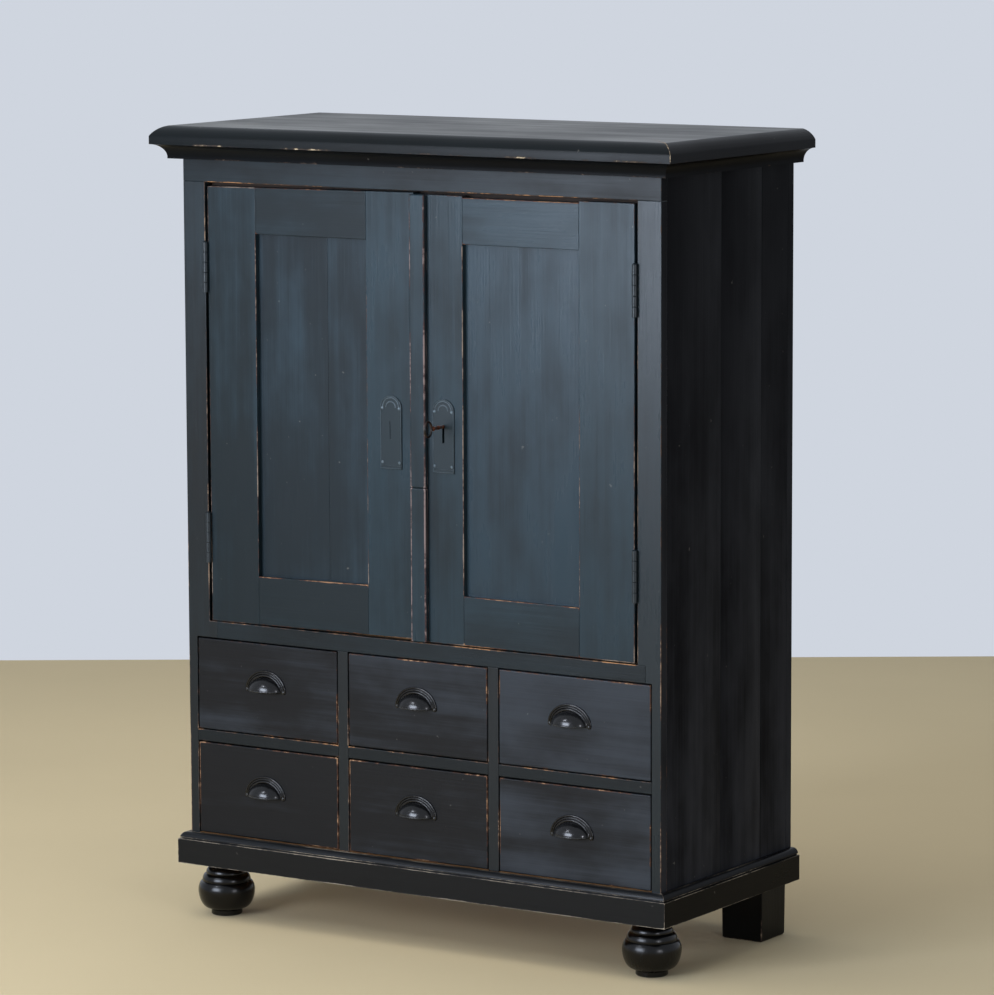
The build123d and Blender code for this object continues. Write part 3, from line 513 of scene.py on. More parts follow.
@dataclass
class Plank:
    """A board with a drawn outline, rounded arrises and a narrow band beside each that wear can reach.

    fade is how far past the rounding an arris is still rubbed bare. board shifts the grain's pattern.
    tone lightens and darkens the whole board, as painted sheen and shade.
    """

    outline: Sequence[Point]
    front: float
    back: float
    arris: float = 0.001
    band: float = 0.0035
    wear: Callable[[Vector], float] = rubbed_bare
    board: float = 0.0
    tone: float = 0.0
    fade: float = 0.0004

    def steps(self) -> list[Triple]:
        """The rings of points from the front to the back.

        Returns:
            The inset, the depth and the rub of each ring.
        """
        soft = self.arris + self.fade
        depth = self.back - self.front
        band = min(self.band, 0.45 * depth)
        quarter = self.arris * (1 - math.sqrt(0.5))
        half = [(self.band, 0.0, 0.0), (soft, 0.0, 0.9), (self.arris, 0.0, 1.0), (quarter, quarter, 1.0),
                (0.0, self.arris, 1.0), (0.0, soft, 0.9), (0.0, band, 0.0)]
        return half + [(inset, depth - deep, rub) for inset, deep, rub in reversed(half)]

    def ring(self, inset: float) -> list[Triple]:
        """The outline moved inwards, with extra points beside each convex corner.

        Args:
            inset: how far inwards, in metres.

        Returns:
            For each point its x, its z and how far its corner is rubbed.
        """
        count = len(self.outline)
        marks = ((self.band, 0.0), (self.arris + self.fade, 0.9), (self.arris, 1.0))
        points: list[Triple] = []
        for i in range(count):
            before, corner, after = (Vector(self.outline[(i + k) % count]) for k in (-1, 0, 1))
            run_in = (corner - before).normalized()
            run_out = (after - corner).normalized()
            inwards = Vector((-run_in.y, run_in.x)), Vector((-run_out.y, run_out.x))
            mitre = (inwards[0] + inwards[1]) / (1 + inwards[0].dot(inwards[1]))
            if run_in.cross(run_out) <= 0:
                points.append((*(corner + mitre * inset), 0.0))
                continue
            reach = -mitre.dot(run_in) * inset
            centre = corner + mitre * self.arris
            outwards = (corner - centre).normalized()
            tip = centre + outwards * (self.arris - inset) if inset < self.arris else corner + mitre * inset
            beside = [(corner + inwards[0] * inset - run_in * max(along, reach), rub) for along, rub in marks]
            beyond = [(corner + inwards[1] * inset + run_out * max(along, reach), rub)
                      for along, rub in reversed(marks)]
            flat = inset >= self.band - merge_distance
            points += [(*place, 0.0 if flat else rub) for place, rub in (*beside, (tip, 1.0), *beyond)]
        return points

    def add_to(self, body: Body) -> None:
        """Adds the board's faces to a mesh.

        Args:
            body: a mesh with the layers that new_body gives it.
        """
        rub_layer, board_layer, tone_layer = (body.verts.layers.float[name] for name in paint_layers)
        rings = []
        for inset, depth, ring_rub in self.steps():
            ring = []
            for x, z, corner_rub in self.ring(inset):
                vertex = body.verts.new((x, self.front + depth, z))
                vertex[rub_layer] = self.wear(vertex.co) * max(ring_rub, corner_rub)
                vertex[board_layer] = self.board
                vertex[tone_layer] = self.tone
                ring.append(vertex)
            rings.append(ring)
        count = len(rings[0])
        for near, far in zip(rings, rings[1:]):
            for i in range(count):
                j = (i + 1) % count
                body.faces.new((near[i], far[i], far[j], near[j]))
        body.faces.new(rings[0])
        body.faces.new(list(reversed(rings[-1])))


def new_body() -> Body:
    """An empty mesh with the layers that the paint reads.

    Returns:
        The mesh, to be worked on.
    """
    body = bmesh.new()
    for name in paint_layers:
        body.verts.layers.float.new(name)
    return body


def to_mesh(body: Body, name: str, sharp: float = 50.0, mend: bool = True) -> Mesh:
    """Turns a mesh being worked on into a finished one.

    Args:
        body: the mesh being worked on, which is freed.
        name: the new mesh's name.
        sharp: edges that turn by more degrees than this stay crisp.
        mend: whether doubled points are merged, and faces turned outwards and shaded smooth.

    Returns:
        The finished mesh.
    """
    if mend:
        bmesh.ops.remove_doubles(body, verts=body.verts, dist=merge_distance)
        bmesh.ops.dissolve_degenerate(body, edges=body.edges, dist=merge_distance / 10)
        bmesh.ops.recalc_face_normals(body, faces=body.faces)
        for face in body.faces:
            face.smooth = True
    mesh = bpy.data.meshes.new(name)
    body.to_mesh(mesh)
    body.free()
    mesh.set_sharp_from_angle(angle=math.radians(sharp))
    return mesh


def plank_mesh(name: str, planks: Sequence[Plank]) -> Mesh:
    """One mesh of several boards.

    Args:
        name: the mesh's name.
        planks: the boards.

    Returns:
        The mesh.
    """
    body = new_body()
    for plank in planks:
        plank.add_to(body)
    return to_mesh(body, name)


def joined(name: str, meshes: Sequence[Mesh], sharp: float = 50.0) -> Mesh:
    """One mesh of several, with their materials left out.

    Args:
        name: the new mesh's name.
        meshes: the meshes, which are removed.
        sharp: edges that turn by more degrees than this stay crisp.

    Returns:
        The joined mesh.
    """
    body = new_body()
    for mesh in meshes:
        body.from_mesh(mesh)
        bpy.data.meshes.remove(mesh)
    for face in body.faces:
        face.material_index = 0
    return to_mesh(body, name, sharp, mend=False)


@cache
def box(node: str) -> tuple[Vector, Vector]:
    """The lowest and the highest corner of a CAD node's box."""
    low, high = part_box(node)
    return Vector(low), Vector(high)


@cache
def middle_of(node: str) -> Vector:
    """The middle of a CAD node's box."""
    low, high = box(node)
    return (low + high) / 2


@cache
def front_outlines(node: str) -> list[list[Point]]:
    """Outlines of a CAD node's foremost flat faces, as (x, z) corners, outer ones only.

    Args:
        node: the CAD node's name.

    Returns:
        One closed outline for each face, running anticlockwise as seen from the front.
    """
    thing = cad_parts[node]
    front = box(node)[0][1]
    mesh = thing.data
    places = [thing.matrix_world @ vertex.co for vertex in mesh.vertices]
    edges: dict[tuple[Point, Point], bool] = {}
    for face in mesh.polygons:
        corners = [places[i] for i in face.vertices]
        if any(abs(corner.y - front) > 1e-5 for corner in corners):
            continue
        flat = [(round(corner.x, 6), round(corner.z, 6)) for corner in corners]
        for start, end in zip(flat, flat[1:] + flat[:1]):
            if not edges.pop((end, start), False):
                edges[(start, end)] = True
    after = dict(edges.keys())
    outlines = []
    while after:
        start, corner = next(iter(after.items()))
        loop = [start]
        del after[start]
        while corner != loop[0]:
            loop.append(corner)
            corner = after.pop(corner)
        count = len(loop)
        turns = []
        for i in range(count):
            a, b, c = (Vector(loop[(i + k) % count]) for k in (-1, 0, 1))
            if abs((b - a).normalized().cross((c - b).normalized())) > 1e-3:
                turns.append(loop[i])
        area = sum(a[0] * b[1] - b[0] * a[1] for a, b in zip(turns, turns[1:] + turns[:1]))
        if area > 0:
            outlines.append(turns)
    return sorted(outlines)


def rectangle(low: Vector, high: Vector) -> list[Point]:
    """The outline of a box seen from the front, anticlockwise from its lower left corner."""
    return [(low[0], low[2]), (high[0], low[2]), (high[0], high[2]), (low[0], high[2])]


def with_stops(outline: Sequence[Point], gap: float = 0.008) -> list[Point]:
    """Adds a point near both ends of every edge, so that wear can stop there.

    Args:
        outline: the corners in order.
        gap: how far the points are from the corners.

    Returns:
        The corners with the added points.
    """
    points: list[Point] = []
    for start, end in zip(outline, [*outline[1:], outline[0]]):
        a, b = Vector(start), Vector(end)
        points.append(start)
        if (b - a).length > 3 * gap:
            run = (b - a).normalized() * gap
            points += [tuple(a + run), tuple(b - run)]
    return points


def with_marks(outline: Sequence[Point], axis: int, marks: Sequence[float],
               clear: float = 0.0038) -> list[Point]:
    """Adds points where the edges along one axis pass the given marks, so that wear can change there.

    Args:
        outline: the points in order.
        axis: 0 for level edges, 1 for upright ones.
        marks: where the points go.
        clear: how far a mark must be from an edge's ends, which a plank's worn band takes up.

    Returns:
        The outline with the added points.
    """
    points: list[Point] = []
    for start, end in zip(outline, [*outline[1:], outline[0]]):
        points.append(start)
        if abs(start[1 - axis] - end[1 - axis]) > 1e-4:
            continue
        low, high = sorted((start[axis], end[axis]))
        crossed = sorted((mark for mark in marks if low + clear < mark < high - clear),
                         reverse=end[axis] < start[axis])
        points += [(mark, start[1]) if axis == 0 else (start[0], mark) for mark in crossed]
    return points


def marks_round(low: float, high: float, outside: float, inside: float) -> list[float]:
    """Marks a little outside and a little inside both ends of a span."""
    return [low - outside, low + inside, high - inside, high + outside]


def arc(start: Point, middle: Point, end: Point, count: int) -> list[Point]:
    """Points on the circle through three points, without the first and the last.

    Args:
        start: where the arc starts.
        middle: a point on it.
        end: where it ends.
        count: how many pieces it is cut into.

    Returns:
        The points between.
    """
    a, b, c = (complex(*point) for point in (start, middle, end))
    shape = (c - a) / (b - a)
    centre = a + (b - a) * 1j * (abs(shape) ** 2 - shape) / (2 * shape.imag)
    sweep, between = (cmath.phase((point - centre) / (a - centre)) % math.tau for point in (c, b))
    if between > sweep:
        sweep -= math.tau
    points = [centre + (a - centre) * cmath.rect(1.0, sweep * i / count) for i in range(1, count)]
    return [(point.real, point.imag) for point in points]


# Geometry node recipes


def new_object(name: str, data: bpy.types.ID) -> bpy.types.Object:
    """A new object in the scene.

    Args:
        name: the object's name.
        data: its mesh, camera or lamp.

    Returns:
        The object.
    """
    thing = bpy.data.objects.new(name, data)
    bpy.context.scene.collection.objects.link(thing)
    return thing


def evaluated(thing: bpy.types.Object) -> Mesh:
    """The plain mesh that an object's modifiers make.

    Args:
        thing: the object.

    Returns:
        The mesh.
    """
    graph = bpy.context.evaluated_depsgraph_get()
    return bpy.data.meshes.new_from_object(thing.evaluated_get(graph), preserve_all_data_layers=True,
                                           depsgraph=graph)


class Recipe:
    """A geometry node tree with named inputs, made once and run for each piece."""

    def __init__(self, name: str, sizes: dict[str, object]) -> None:
        """Starts the tree.

        Args:
            name: the tree's name.
            sizes: each input's name and what it is where a run doesn't say.
        """
        kinds = {float: "NodeSocketFloat", int: "NodeSocketInt", tuple: "NodeSocketVector"}
        self.tree = bpy.data.node_groups.new(name, "GeometryNodeTree")
        self.add = partial(add_node, self.tree)
        new_socket = self.tree.interface.new_socket
        new_socket("Geometry", in_out="INPUT", socket_type="NodeSocketGeometry")
        for title, value in sizes.items():
            new_socket(title, in_out="INPUT", socket_type=kinds[type(value)]).default_value = value
        new_socket("Material", in_out="INPUT", socket_type="NodeSocketMaterial")
        new_socket("Geometry", in_out="OUTPUT", socket_type="NodeSocketGeometry")
        self.given = self.add("NodeGroupInput").outputs

    def swept_grid(self, columns: int | Node, profile: Sequence[tuple],
                   *tables: Sequence[tuple]) -> tuple[Node, Node, list[Node]]:
        """A grid of points, and the vectors that each point reads by its row and its column.

        Args:
            columns: how many columns the grid has.
            profile: a vector for each row.
            *tables: further lists, each with a vector for each column.

        Returns:
            The grid, the column's number, and the profile's and each table's vector.
        """
        add = self.add
        rows = len(profile)
        grid = add("GeometryNodeMeshGrid", {"Vertices X": columns, "Vertices Y": rows})
        index = add("GeometryNodeInputIndex")
        row = add("ShaderNodeMath", {0: index, 1: float(rows)}, operation="MODULO")
        share = add("ShaderNodeMath", {0: index, 1: float(rows)}, operation="DIVIDE")
        column = add("ShaderNodeMath", {0: share}, operation="FLOOR")
        choices = []
        for picker, table in ((row, profile), *[(column, table) for table in tables]):
            choice = add("GeometryNodeIndexSwitch", {"Index": picker}, data_type="VECTOR")
            for _ in range(len(table) - len(choice.index_switch_items)):
                choice.index_switch_items.new()
            for number, values in enumerate(table):
                choice.inputs[1 + number].default_value = values
            choices.append(choice)
        return grid, column, choices

    def close(self, made: Node) -> None:
        """Ends the tree with realized instances and the material.

        Args:
            made: the node whose geometry is the result.
        """
        real = self.add("GeometryNodeRealizeInstances", {0: made})
        dressed = self.add("GeometryNodeSetMaterial", {0: real, "Material": self.given["Material"]})
        self.add("NodeGroupOutput", {0: dressed})

    def run(self, name: str, base: Mesh, finish: Finish, **sizes: object) -> Mesh:
        """Runs the tree on a mesh and gives the result as a plain mesh.

        Args:
            name: the result's name.
            base: the mesh that the tree starts from, which is removed.
            finish: the finish of the result.
            **sizes: the inputs, with underscores for spaces.

        Returns:
            The plain mesh.
        """
        holder = new_object(name + "_base", base)
        modifier = holder.modifiers.new("recipe", "NODES")
        modifier.node_group = self.tree
        values = {title.replace("_", " "): value for title, value in sizes.items()}
        values["Material"] = finish.material()
        for item in self.tree.interface.items_tree:
            if item.in_out == "INPUT" and item.name in values:
                modifier[item.identifier] = values[item.name]
        mesh = evaluated(holder)
        mesh.name = name
        holder.modifiers.remove(modifier)
        bpy.data.objects.remove(holder)
        bpy.data.meshes.remove(base)
        return mesh


def point_mesh(places: Sequence[Vector], **attributes: Sequence[float]) -> Mesh:
    """A mesh of loose points.

    Args:
        places: where the points are.
        **attributes: a value of each named attribute for each point.

    Returns:
        The mesh.
    """
    mesh = bpy.data.meshes.new("points")
    mesh.from_pydata([tuple(place) for place in places], [], [])
    for name, values in attributes.items():
        mesh.attributes.new(name, "FLOAT", "POINT").data.foreach_set("value", list(values))
    return mesh


def line_mesh(lines: Sequence[Sequence[Vector]], closed: bool = False) -> Mesh:
    """A mesh of loose lines.

    Args:
        lines: each line's points in order.
        closed: whether each line runs back to its start.

    Returns:
        The mesh.
    """
    places: list[tuple] = []
    edges: list[tuple[int, int]] = []
    for line in lines:
        first = len(places)
        places += [tuple(place) for place in line]
        edges += [(i, i + 1) for i in range(first, len(places) - 1)]
        if closed:
            edges.append((len(places) - 1, first))
    mesh = bpy.data.meshes.new("lines")
    mesh.from_pydata(places, edges, [])
    return mesh


class Turning(Recipe):
    """A shape turned round its axis, set on every point of the base mesh."""

    def __init__(self, name: str, silhouette: Sequence[Point], rub: float = 0.0) -> None:
        """Builds the tree.

        Args:
            name: the shape's name.
            silhouette: radius and height of each step, as shares of the whole.
            rub: how far the shape is rubbed.
        """
        super().__init__(name, {"Radius": 0.01, "Height": 0.01, "Segments": 8, "Tilt": (0.0, 0.0, 0.0),
                                "Seed": 0})
        add, given = self.add, self.given
        columns = add("ShaderNodeMath", {0: given["Segments"], 1: 1.0}, operation="ADD")
        steps = [(radius, height, 0.0) for radius, height in silhouette]
        grid, column, (step,) = self.swept_grid(columns, steps)
        parts = add("ShaderNodeSeparateXYZ", {0: step}).outputs
        radius = add("ShaderNodeMath", {0: parts["X"], 1: given["Radius"]}, operation="MULTIPLY")
        height = add("ShaderNodeMath", {0: parts["Y"], 1: given["Height"]}, operation="MULTIPLY")
        turn = add("ShaderNodeMath", {0: column, 1: given["Segments"]}, operation="DIVIDE")
        angle = add("ShaderNodeMath", {0: turn, 1: math.tau}, operation="MULTIPLY")
        level = []
        for operation in ("COSINE", "SINE"):
            share = add("ShaderNodeMath", {0: angle}, operation=operation)
            level.append(add("ShaderNodeMath", {0: share, 1: radius}, operation="MULTIPLY"))
        place = add("ShaderNodeCombineXYZ", {0: level[0], 1: level[1], 2: height})
        turned = add("GeometryNodeSetPosition", {0: grid, "Position": place})
        rubbed = add("GeometryNodeStoreNamedAttribute", {0: turned, "Name": "rub", "Value": rub})
        whole = add("GeometryNodeMergeByDistance", {0: rubbed, "Distance": merge_distance})
        smooth = add("GeometryNodeSetShadeSmooth", {0: whole})
        spin = add("FunctionNodeRandomValue", {2: 0.0, 3: math.tau, "Seed": given["Seed"]})
        spun = add("ShaderNodeCombineXYZ", {2: spin.outputs[1]})
        tilt = add("FunctionNodeEulerToRotation", {0: given["Tilt"]})
        twist = add("FunctionNodeEulerToRotation", {0: spun})
        both = add("FunctionNodeRotateRotation", {0: tilt, 1: twist}, rotation_space="LOCAL")
        self.close(add("GeometryNodeInstanceOnPoints",
                       {"Points": given["Geometry"], "Instance": smooth, "Rotation": both}))


class Bead(Recipe):
    """A round bead that follows every line of the base mesh."""

    def __init__(self) -> None:
        """Builds the tree."""
        super().__init__("bead", {"Radius": 0.001, "Sides": 8, "Rub": 1.0})
        add, given = self.add, self.given
        path = add("GeometryNodeMeshToCurve", {0: given["Geometry"]})
        ring = add("GeometryNodeCurvePrimitiveCircle",
                   {"Resolution": given["Sides"], "Radius": given["Radius"]})
        swept = add("GeometryNodeCurveToMesh", {"Curve": path, "Profile Curve": ring, "Fill Caps": True})
        high = add("GeometryNodeStoreNamedAttribute", {0: swept, "Name": "rub", "Value": given["Rub"]})
        self.close(add("GeometryNodeSetShadeSmooth", {0: high}))


class BoardWall(Recipe):
    """Upright boards side by side, one on each point, as wide as the point's width says."""

    def __init__(self) -> None:
        """Builds the tree."""
        super().__init__("board_wall", {"Height": 1.0, "Thickness": 0.01, "Arris": 0.001,
                                        "Turn": (0.0, 0.0, 0.0), "Seed": 1})
        add, given = self.add, self.given
        nominal = 0.1
        section = add("GeometryNodeCurvePrimitiveQuadrilateral",
                      {"Width": nominal, "Height": given["Thickness"]})
        eased = add("GeometryNodeFilletCurve",
                    {0: section, "Count": 2, "Radius": given["Arris"]}, mode="POLY")
        ends = []
        for share in (-0.5, 0.5):
            level = add("ShaderNodeMath", {0: given["Height"], 1: share}, operation="MULTIPLY")
            ends.append(add("ShaderNodeCombineXYZ", {2: level}))
        line = add("GeometryNodeCurvePrimitiveLine", {"Start": ends[0], "End": ends[1]})
        board = add("GeometryNodeCurveToMesh", {"Curve": line, "Profile Curve": eased, "Fill Caps": True})
        width = add("GeometryNodeInputNamedAttribute", {"Name": "width"})
        stretch = add("ShaderNodeMath", {0: width, 1: nominal}, operation="DIVIDE")
        scale = add("ShaderNodeCombineXYZ", {0: stretch, 1: 1.0, 2: 1.0})
        turn = add("FunctionNodeEulerToRotation", {0: given["Turn"]})
        placed = add("GeometryNodeInstanceOnPoints",
                     {"Points": given["Geometry"], "Instance": board, "Rotation": turn, "Scale": scale})
        chance = add("FunctionNodeRandomValue", {2: 0.0, 3: 0.7, "Seed": given["Seed"]})
        self.close(add("GeometryNodeStoreNamedAttribute",
                       {0: placed, "Name": "board", "Value": chance.outputs[1]}, domain="INSTANCE"))

    def filling(self, node: str, axis: int, edges: Sequence[float], gap: float, finish: Finish,
                **sizes: object) -> Mesh:
        """Boards that fill the box of a CAD node.

        Args:
            node: the CAD node's name.
            axis: 0 where the wall runs across the case, 1 where it runs along its depth.
            edges: where one board ends and the next begins, with both ends of the wall.
            gap: how much narrower each board is than its place.
            finish: the boards' finish.
            **sizes: the recipe's other inputs.

        Returns:
            The mesh.
        """
        low, high = box(node)
        spans = list(zip(edges, edges[1:]))
        places = [middle_of(node).copy() for _ in spans]
        for place, span in zip(places, spans):
            place[axis] = sum(span) / 2
        points = point_mesh(places, width=[end - start - gap for start, end in spans])
        mesh = self.run(node, points, finish, Height=high.z - low.z, Thickness=high[1 - axis] - low[1 - axis],
                        Turn=(0.0, 0.0, axis * math.pi / 2), **sizes)
        return joined(node, [mesh], sharp=20.0)


class MouldingRun(Recipe):
    """A moulding along both sides and the front of the case, mitred at the two front corners."""

    def __init__(self, name: str, profile: Sequence[Triple], corner_rub: float) -> None:
        """Builds the tree.

        Args:
            name: the moulding's name.
            profile: closed profile as reach, rise and rub of each point, in metres.
            corner_rub: how far the mitred arrises are rubbed.
        """
        super().__init__(name, {"Half Width": 0.5, "Front": -0.2, "Back": 0.2, "Foot": 0.0,
                                "Seam Band": 0.004})
        add, given = self.add, self.given
        # Eight stations: the left end, three at each mitre with its seam in the middle, the right end
        corners = [(-1, 1, 0), (-1, 0, 0), (-1, 0, corner_rub), (-1, 0, 0),
                   (1, 0, 0), (1, 0, corner_rub), (1, 0, 0), (1, 1, 0)]
        shifts = [(0, 0, 0), (0, 1, 0), (0, 0, 0), (1, 0, 0),
                  (-1, 0, 0), (0, 0, 0), (0, 1, 0), (0, 0, 0)]
        outwards = [(-1, 0, 0), *[(-1, -1, 0)] * 3, *[(1, -1, 0)] * 3, (1, 0, 0)]
        grid, _, choices = self.swept_grid(len(corners), profile, corners, shifts, outwards)
        section, corner = (add("ShaderNodeSeparateXYZ", {0: choice}).outputs for choice in choices[:2])
        depth = add("ShaderNodeMath", {0: given["Back"], 1: given["Front"]}, operation="SUBTRACT")
        x = add("ShaderNodeMath", {0: corner["X"], 1: given["Half Width"]}, operation="MULTIPLY")
        y = add("ShaderNodeMath", {0: corner["Y"], 1: depth, 2: given["Front"]}, operation="MULTIPLY_ADD")
        z = add("ShaderNodeMath", {0: section["Y"], 1: given["Foot"]}, operation="ADD")
        place = add("ShaderNodeCombineXYZ", {0: x, 1: y, 2: z})
        for direction, amount in ((choices[2], given["Seam Band"]), (choices[3], section["X"])):
            step = add("ShaderNodeVectorMath", {0: direction, "Scale": amount}, operation="SCALE")
            place = add("ShaderNodeVectorMath", {0: place, 1: step}, operation="ADD")
        # Nothing passes the case's back, and the other two limits are out of reach
        limit = add("ShaderNodeCombineXYZ", {0: 9.0, 1: given["Back"], 2: 9.0})
        place = add("ShaderNodeVectorMath", {0: place, 1: limit}, operation="MINIMUM")
        rub = add("ShaderNodeMath", {0: section["Z"], 1: corner["Z"]}, operation="MAXIMUM")
        bent = add("GeometryNodeSetPosition", {0: grid, "Position": place})
        self.close(add("GeometryNodeStoreNamedAttribute", {0: bent, "Name": "rub", "Value": rub}))


def sealed(mesh: Mesh, name: str) -> Mesh:
    """Merges a swept mesh's doubled points and fills its open ends.

    Args:
        mesh: the swept mesh, which is removed.
        name: the new mesh's name.

    Returns:
        The closed mesh.
    """
    body = new_body()
    body.from_mesh(mesh)
    bpy.data.meshes.remove(mesh)
    bmesh.ops.remove_doubles(body, verts=body.verts, dist=merge_distance)
    open_edges = [edge for edge in body.edges if edge.is_boundary]
    bmesh.ops.holes_fill(body, edges=open_edges, sides=0)
    return to_mesh(body, name, sharp=28.0)


def cut(mesh: Mesh, cutter: Mesh) -> Mesh:
    """Cuts one mesh out of another.

    Args:
        mesh: the mesh that is cut, which is removed.
        cutter: the shape to cut away, which is removed.

    Returns:
        The cut mesh.
    """
    whole = new_object("whole", mesh)
    tool = new_object("tool", cutter)
    modifier = whole.modifiers.new("cut", "BOOLEAN")
    modifier.operation = "DIFFERENCE"
    modifier.solver = "EXACT"
    modifier.object = tool
    result = evaluated(whole)
    result.name = mesh.name
    for thing in (whole, tool):
        bpy.data.objects.remove(thing)
    bpy.data.meshes.remove(mesh)
    bpy.data.meshes.remove(cutter)
    result.materials.clear()
    result.set_sharp_from_angle(angle=math.radians(50.0))
    return result


# Pieces


@dataclass
class Piece:
    """A finished mesh, what it is made of, what it rides on and what it stands for.

    Where a piece has more than one finish, pick gives each face the number of its own.
    """

    name: str
    mesh: Mesh
    finish: Finish
    body: str
    slot: str
    stands_for: tuple[str, ...] = ()
    others: tuple[Finish, ...] = ()
    pick: Callable[[bpy.types.MeshPolygon], int] | None = None

    def place(self) -> None:
        """Puts the piece in the scene on its body, and hides the CAD nodes that it stands for."""
        thing = new_object(self.name, self.mesh)
        self.mesh.materials.clear()
        for finish in (self.finish, *self.others):
            self.mesh.materials.append(finish.material())
        if self.pick:
            for face in self.mesh.polygons:
                face.material_index = self.pick(face)
        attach(thing, self.body)
        if self.stands_for:
            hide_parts(*self.stands_for)
        log.info("%s: %d faces on %s", self.name, len(self.mesh.polygons), self.body)


def dress_node(node: str, finish: Finish) -> None:
    """Gives a CAD node that stays in view its finish.

    Args:
        node: the node's name.
        finish: its finish.
    """
    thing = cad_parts[node]
    for holder in thing.material_slots:
        holder.material = finish.material()
    log.info("%s keeps its mesh, with %s", node, finish.name)


@dataclass
class Carcase:
    """The case: face frame, sides, back, and the boards inside.

    seam_reach and seam_margin say how near a seam of the frame a point must be to stay painted. The
    marks say how far outside and inside a seam's ends the wear can change.
    """

    frame_arris: float = 0.0008
    outer_arris: float = 0.005
    seam_reach: float = 0.004
    seam_margin: float = 0.002
    row_marks: Point = (0.002, 0.003)
    stile_marks: Point = (0.004, 0.001)
    handled_height: float = 0.9
    side_joints: tuple[float, ...] = (0.0061, 0.1459, 0.2389)
    side_arris: float = 0.0005
    hairline: float = 0.0001
    back_count: int = 5
    back_arris: float = 0.0015
    back_gap: float = 0.001
    nail_radius: float = 0.0035
    nail_height: float = 0.0007
    shelf_thickness: float = 0.018
    board_wall: BoardWall = field(default_factory=BoardWall)

    def frame_wear(self, place: Vector) -> float:
        """Rubs the arrises of the openings and the outer corners, and leaves the frame's seams alone.

        Args:
            place: a point of the frame.

        Returns:
            The share of its wear.
        """
        stile, rail, rows = (box(node) for node in ("right_stile", "door_rail", "row_rails"))
        x, z, reach, margin = abs(place.x), place.z, self.seam_reach, self.seam_margin
        if x > stile[1].x - self.outer_arris:
            return 1.0 if z < self.handled_height else 0.7
        at_rail_end = min(abs(place.x - rail[0].x), abs(place.x - rail[1].x)) < reach
        beside_rail = at_rail_end and rail[0].z + margin < z < rail[1].z - margin
        over_stile = x > stile[0].x + margin and min(abs(z - rail[1].z), abs(z - stile[1].z)) < reach
        in_row = rows[0].z + margin < z < rows[1].z - margin
        if beside_rail or over_stile or in_row:
            return 0.1
        over_rail = z > rail[1].z - 0.01
        over_drawers = abs(z - rows[1].z) < reach
        return 0.95 if over_rail or over_drawers else 0.75

    def frame_piece(self, node: str, finish: Finish) -> Piece:
        """One member of the face frame, drawn round the CAD node's own outline.

        Args:
            node: the CAD node's name.
            finish: its finish.

        Returns:
            The piece.
        """
        low, high = box(node)
        stile, rows = box("right_stile")[0].x, box("row_rails")
        levels = marks_round(rows[0].z, rows[1].z, *self.row_marks)
        across = marks_round(-stile, stile, *self.stile_marks)
        # Painted sheen and shade: the right stile lighter in the window's light, the left stile and the rail
        # under the top darker, the partitions and the rails between the drawers darker still
        sheen_and_shade_tones = {"right_stile": 0.12, "left_stile": -0.1, "top_rail": -0.1, "door_rail": 0.0}
        planks = []
        for number, outline in enumerate(front_outlines(node)):
            points = with_marks(with_marks(with_stops(outline), 1, levels), 0, across)
            planks.append(Plank(points, low.y, high.y, arris=self.frame_arris, wear=self.frame_wear,
                                board=1.7 * number, tone=sheen_and_shade_tones.get(node, -0.2)))
        # The frame's outer edges are painted with the sides, in the sides' painted shade
        outer = box("right_stile")[1].x - 1e-5
        return Piece(f"{node}_worn", plank_mesh(node, planks), finish, "case", "case_paint", (node,),
                     (side_finish,), lambda face: int(abs(face.center.x) > outer))

    def side(self, node: str) -> Piece:
        """A case side of four boards glued edge to edge, bare on the inside.

        Args:
            node: the CAD node's name.

        Returns:
            The piece.
        """
        low, high = box(node)
        mesh = self.board_wall.filling(node, 1, [low.y, *self.side_joints, high.y], self.hairline,
                                       side_finish, Arris=self.side_arris, Seed=3)
        inwards = -1 if node == "right_side" else 1
        return Piece(f"{node}_boards", mesh, side_finish, "case", "side_paint", (node,), (bare_upright,),
                     lambda face: int(face.normal.x * inwards > 0.5))

    def back(self) -> Piece:
        """The upright back boards, with a gap between each two.

        Returns:
            The piece.
        """
        low, high = box("back_boards")
        pitch = (high.x - low.x + self.back_gap) / self.back_count
        edges = [low.x - self.back_gap / 2 + pitch * i for i in range(self.back_count + 1)]
        mesh = self.board_wall.filling("back_boards", 0, edges, self.back_gap, bare_upright,
                                       Arris=self.back_arris, Seed=8)
        return Piece("back_boards_worn", mesh, bare_upright, "case", "bare_pine", ("back_boards",))

    def nails(self) -> Piece:
        """Flat nail heads in the back, in rows at the bottom, the drawers' ceiling, the shelves and the head.

        Returns:
            The piece.
        """
        low, high = box("back_boards")
        shelves = box("shelves")
        levels = [low.z + 0.045, box("mid_board")[1].z - 0.01, high.z - 0.03,
                  shelves[0].z + self.shelf_thickness / 2, shelves[1].z - self.shelf_thickness / 2]
        pitch = (high.x - low.x) / self.back_count
        places = [Vector((low.x + pitch * (i + share), high.y, level))
                  for level in levels for i in range(self.back_count) for share in (0.16, 0.84)]
        nail = Turning("nail_head", [(0, -0.5), (1, -0.5), (1, 0.7), (0.8, 1), (0, 1)])
        mesh = nail.run("nails", point_mesh(places), lock_finish, Radius=self.nail_radius,
                        Height=self.nail_height, Segments=10, Tilt=to_back, Seed=5)
        return Piece("back_nails", mesh, lock_finish, "case", "black_iron")

    def pieces(self) -> list[Piece]:
        """Builds the case's pieces and dresses the boards inside it.

        Returns:
            The pieces.
        """
        for node in ("bottom_board", "mid_board", "shelves"):
            dress_node(node, bare_level)
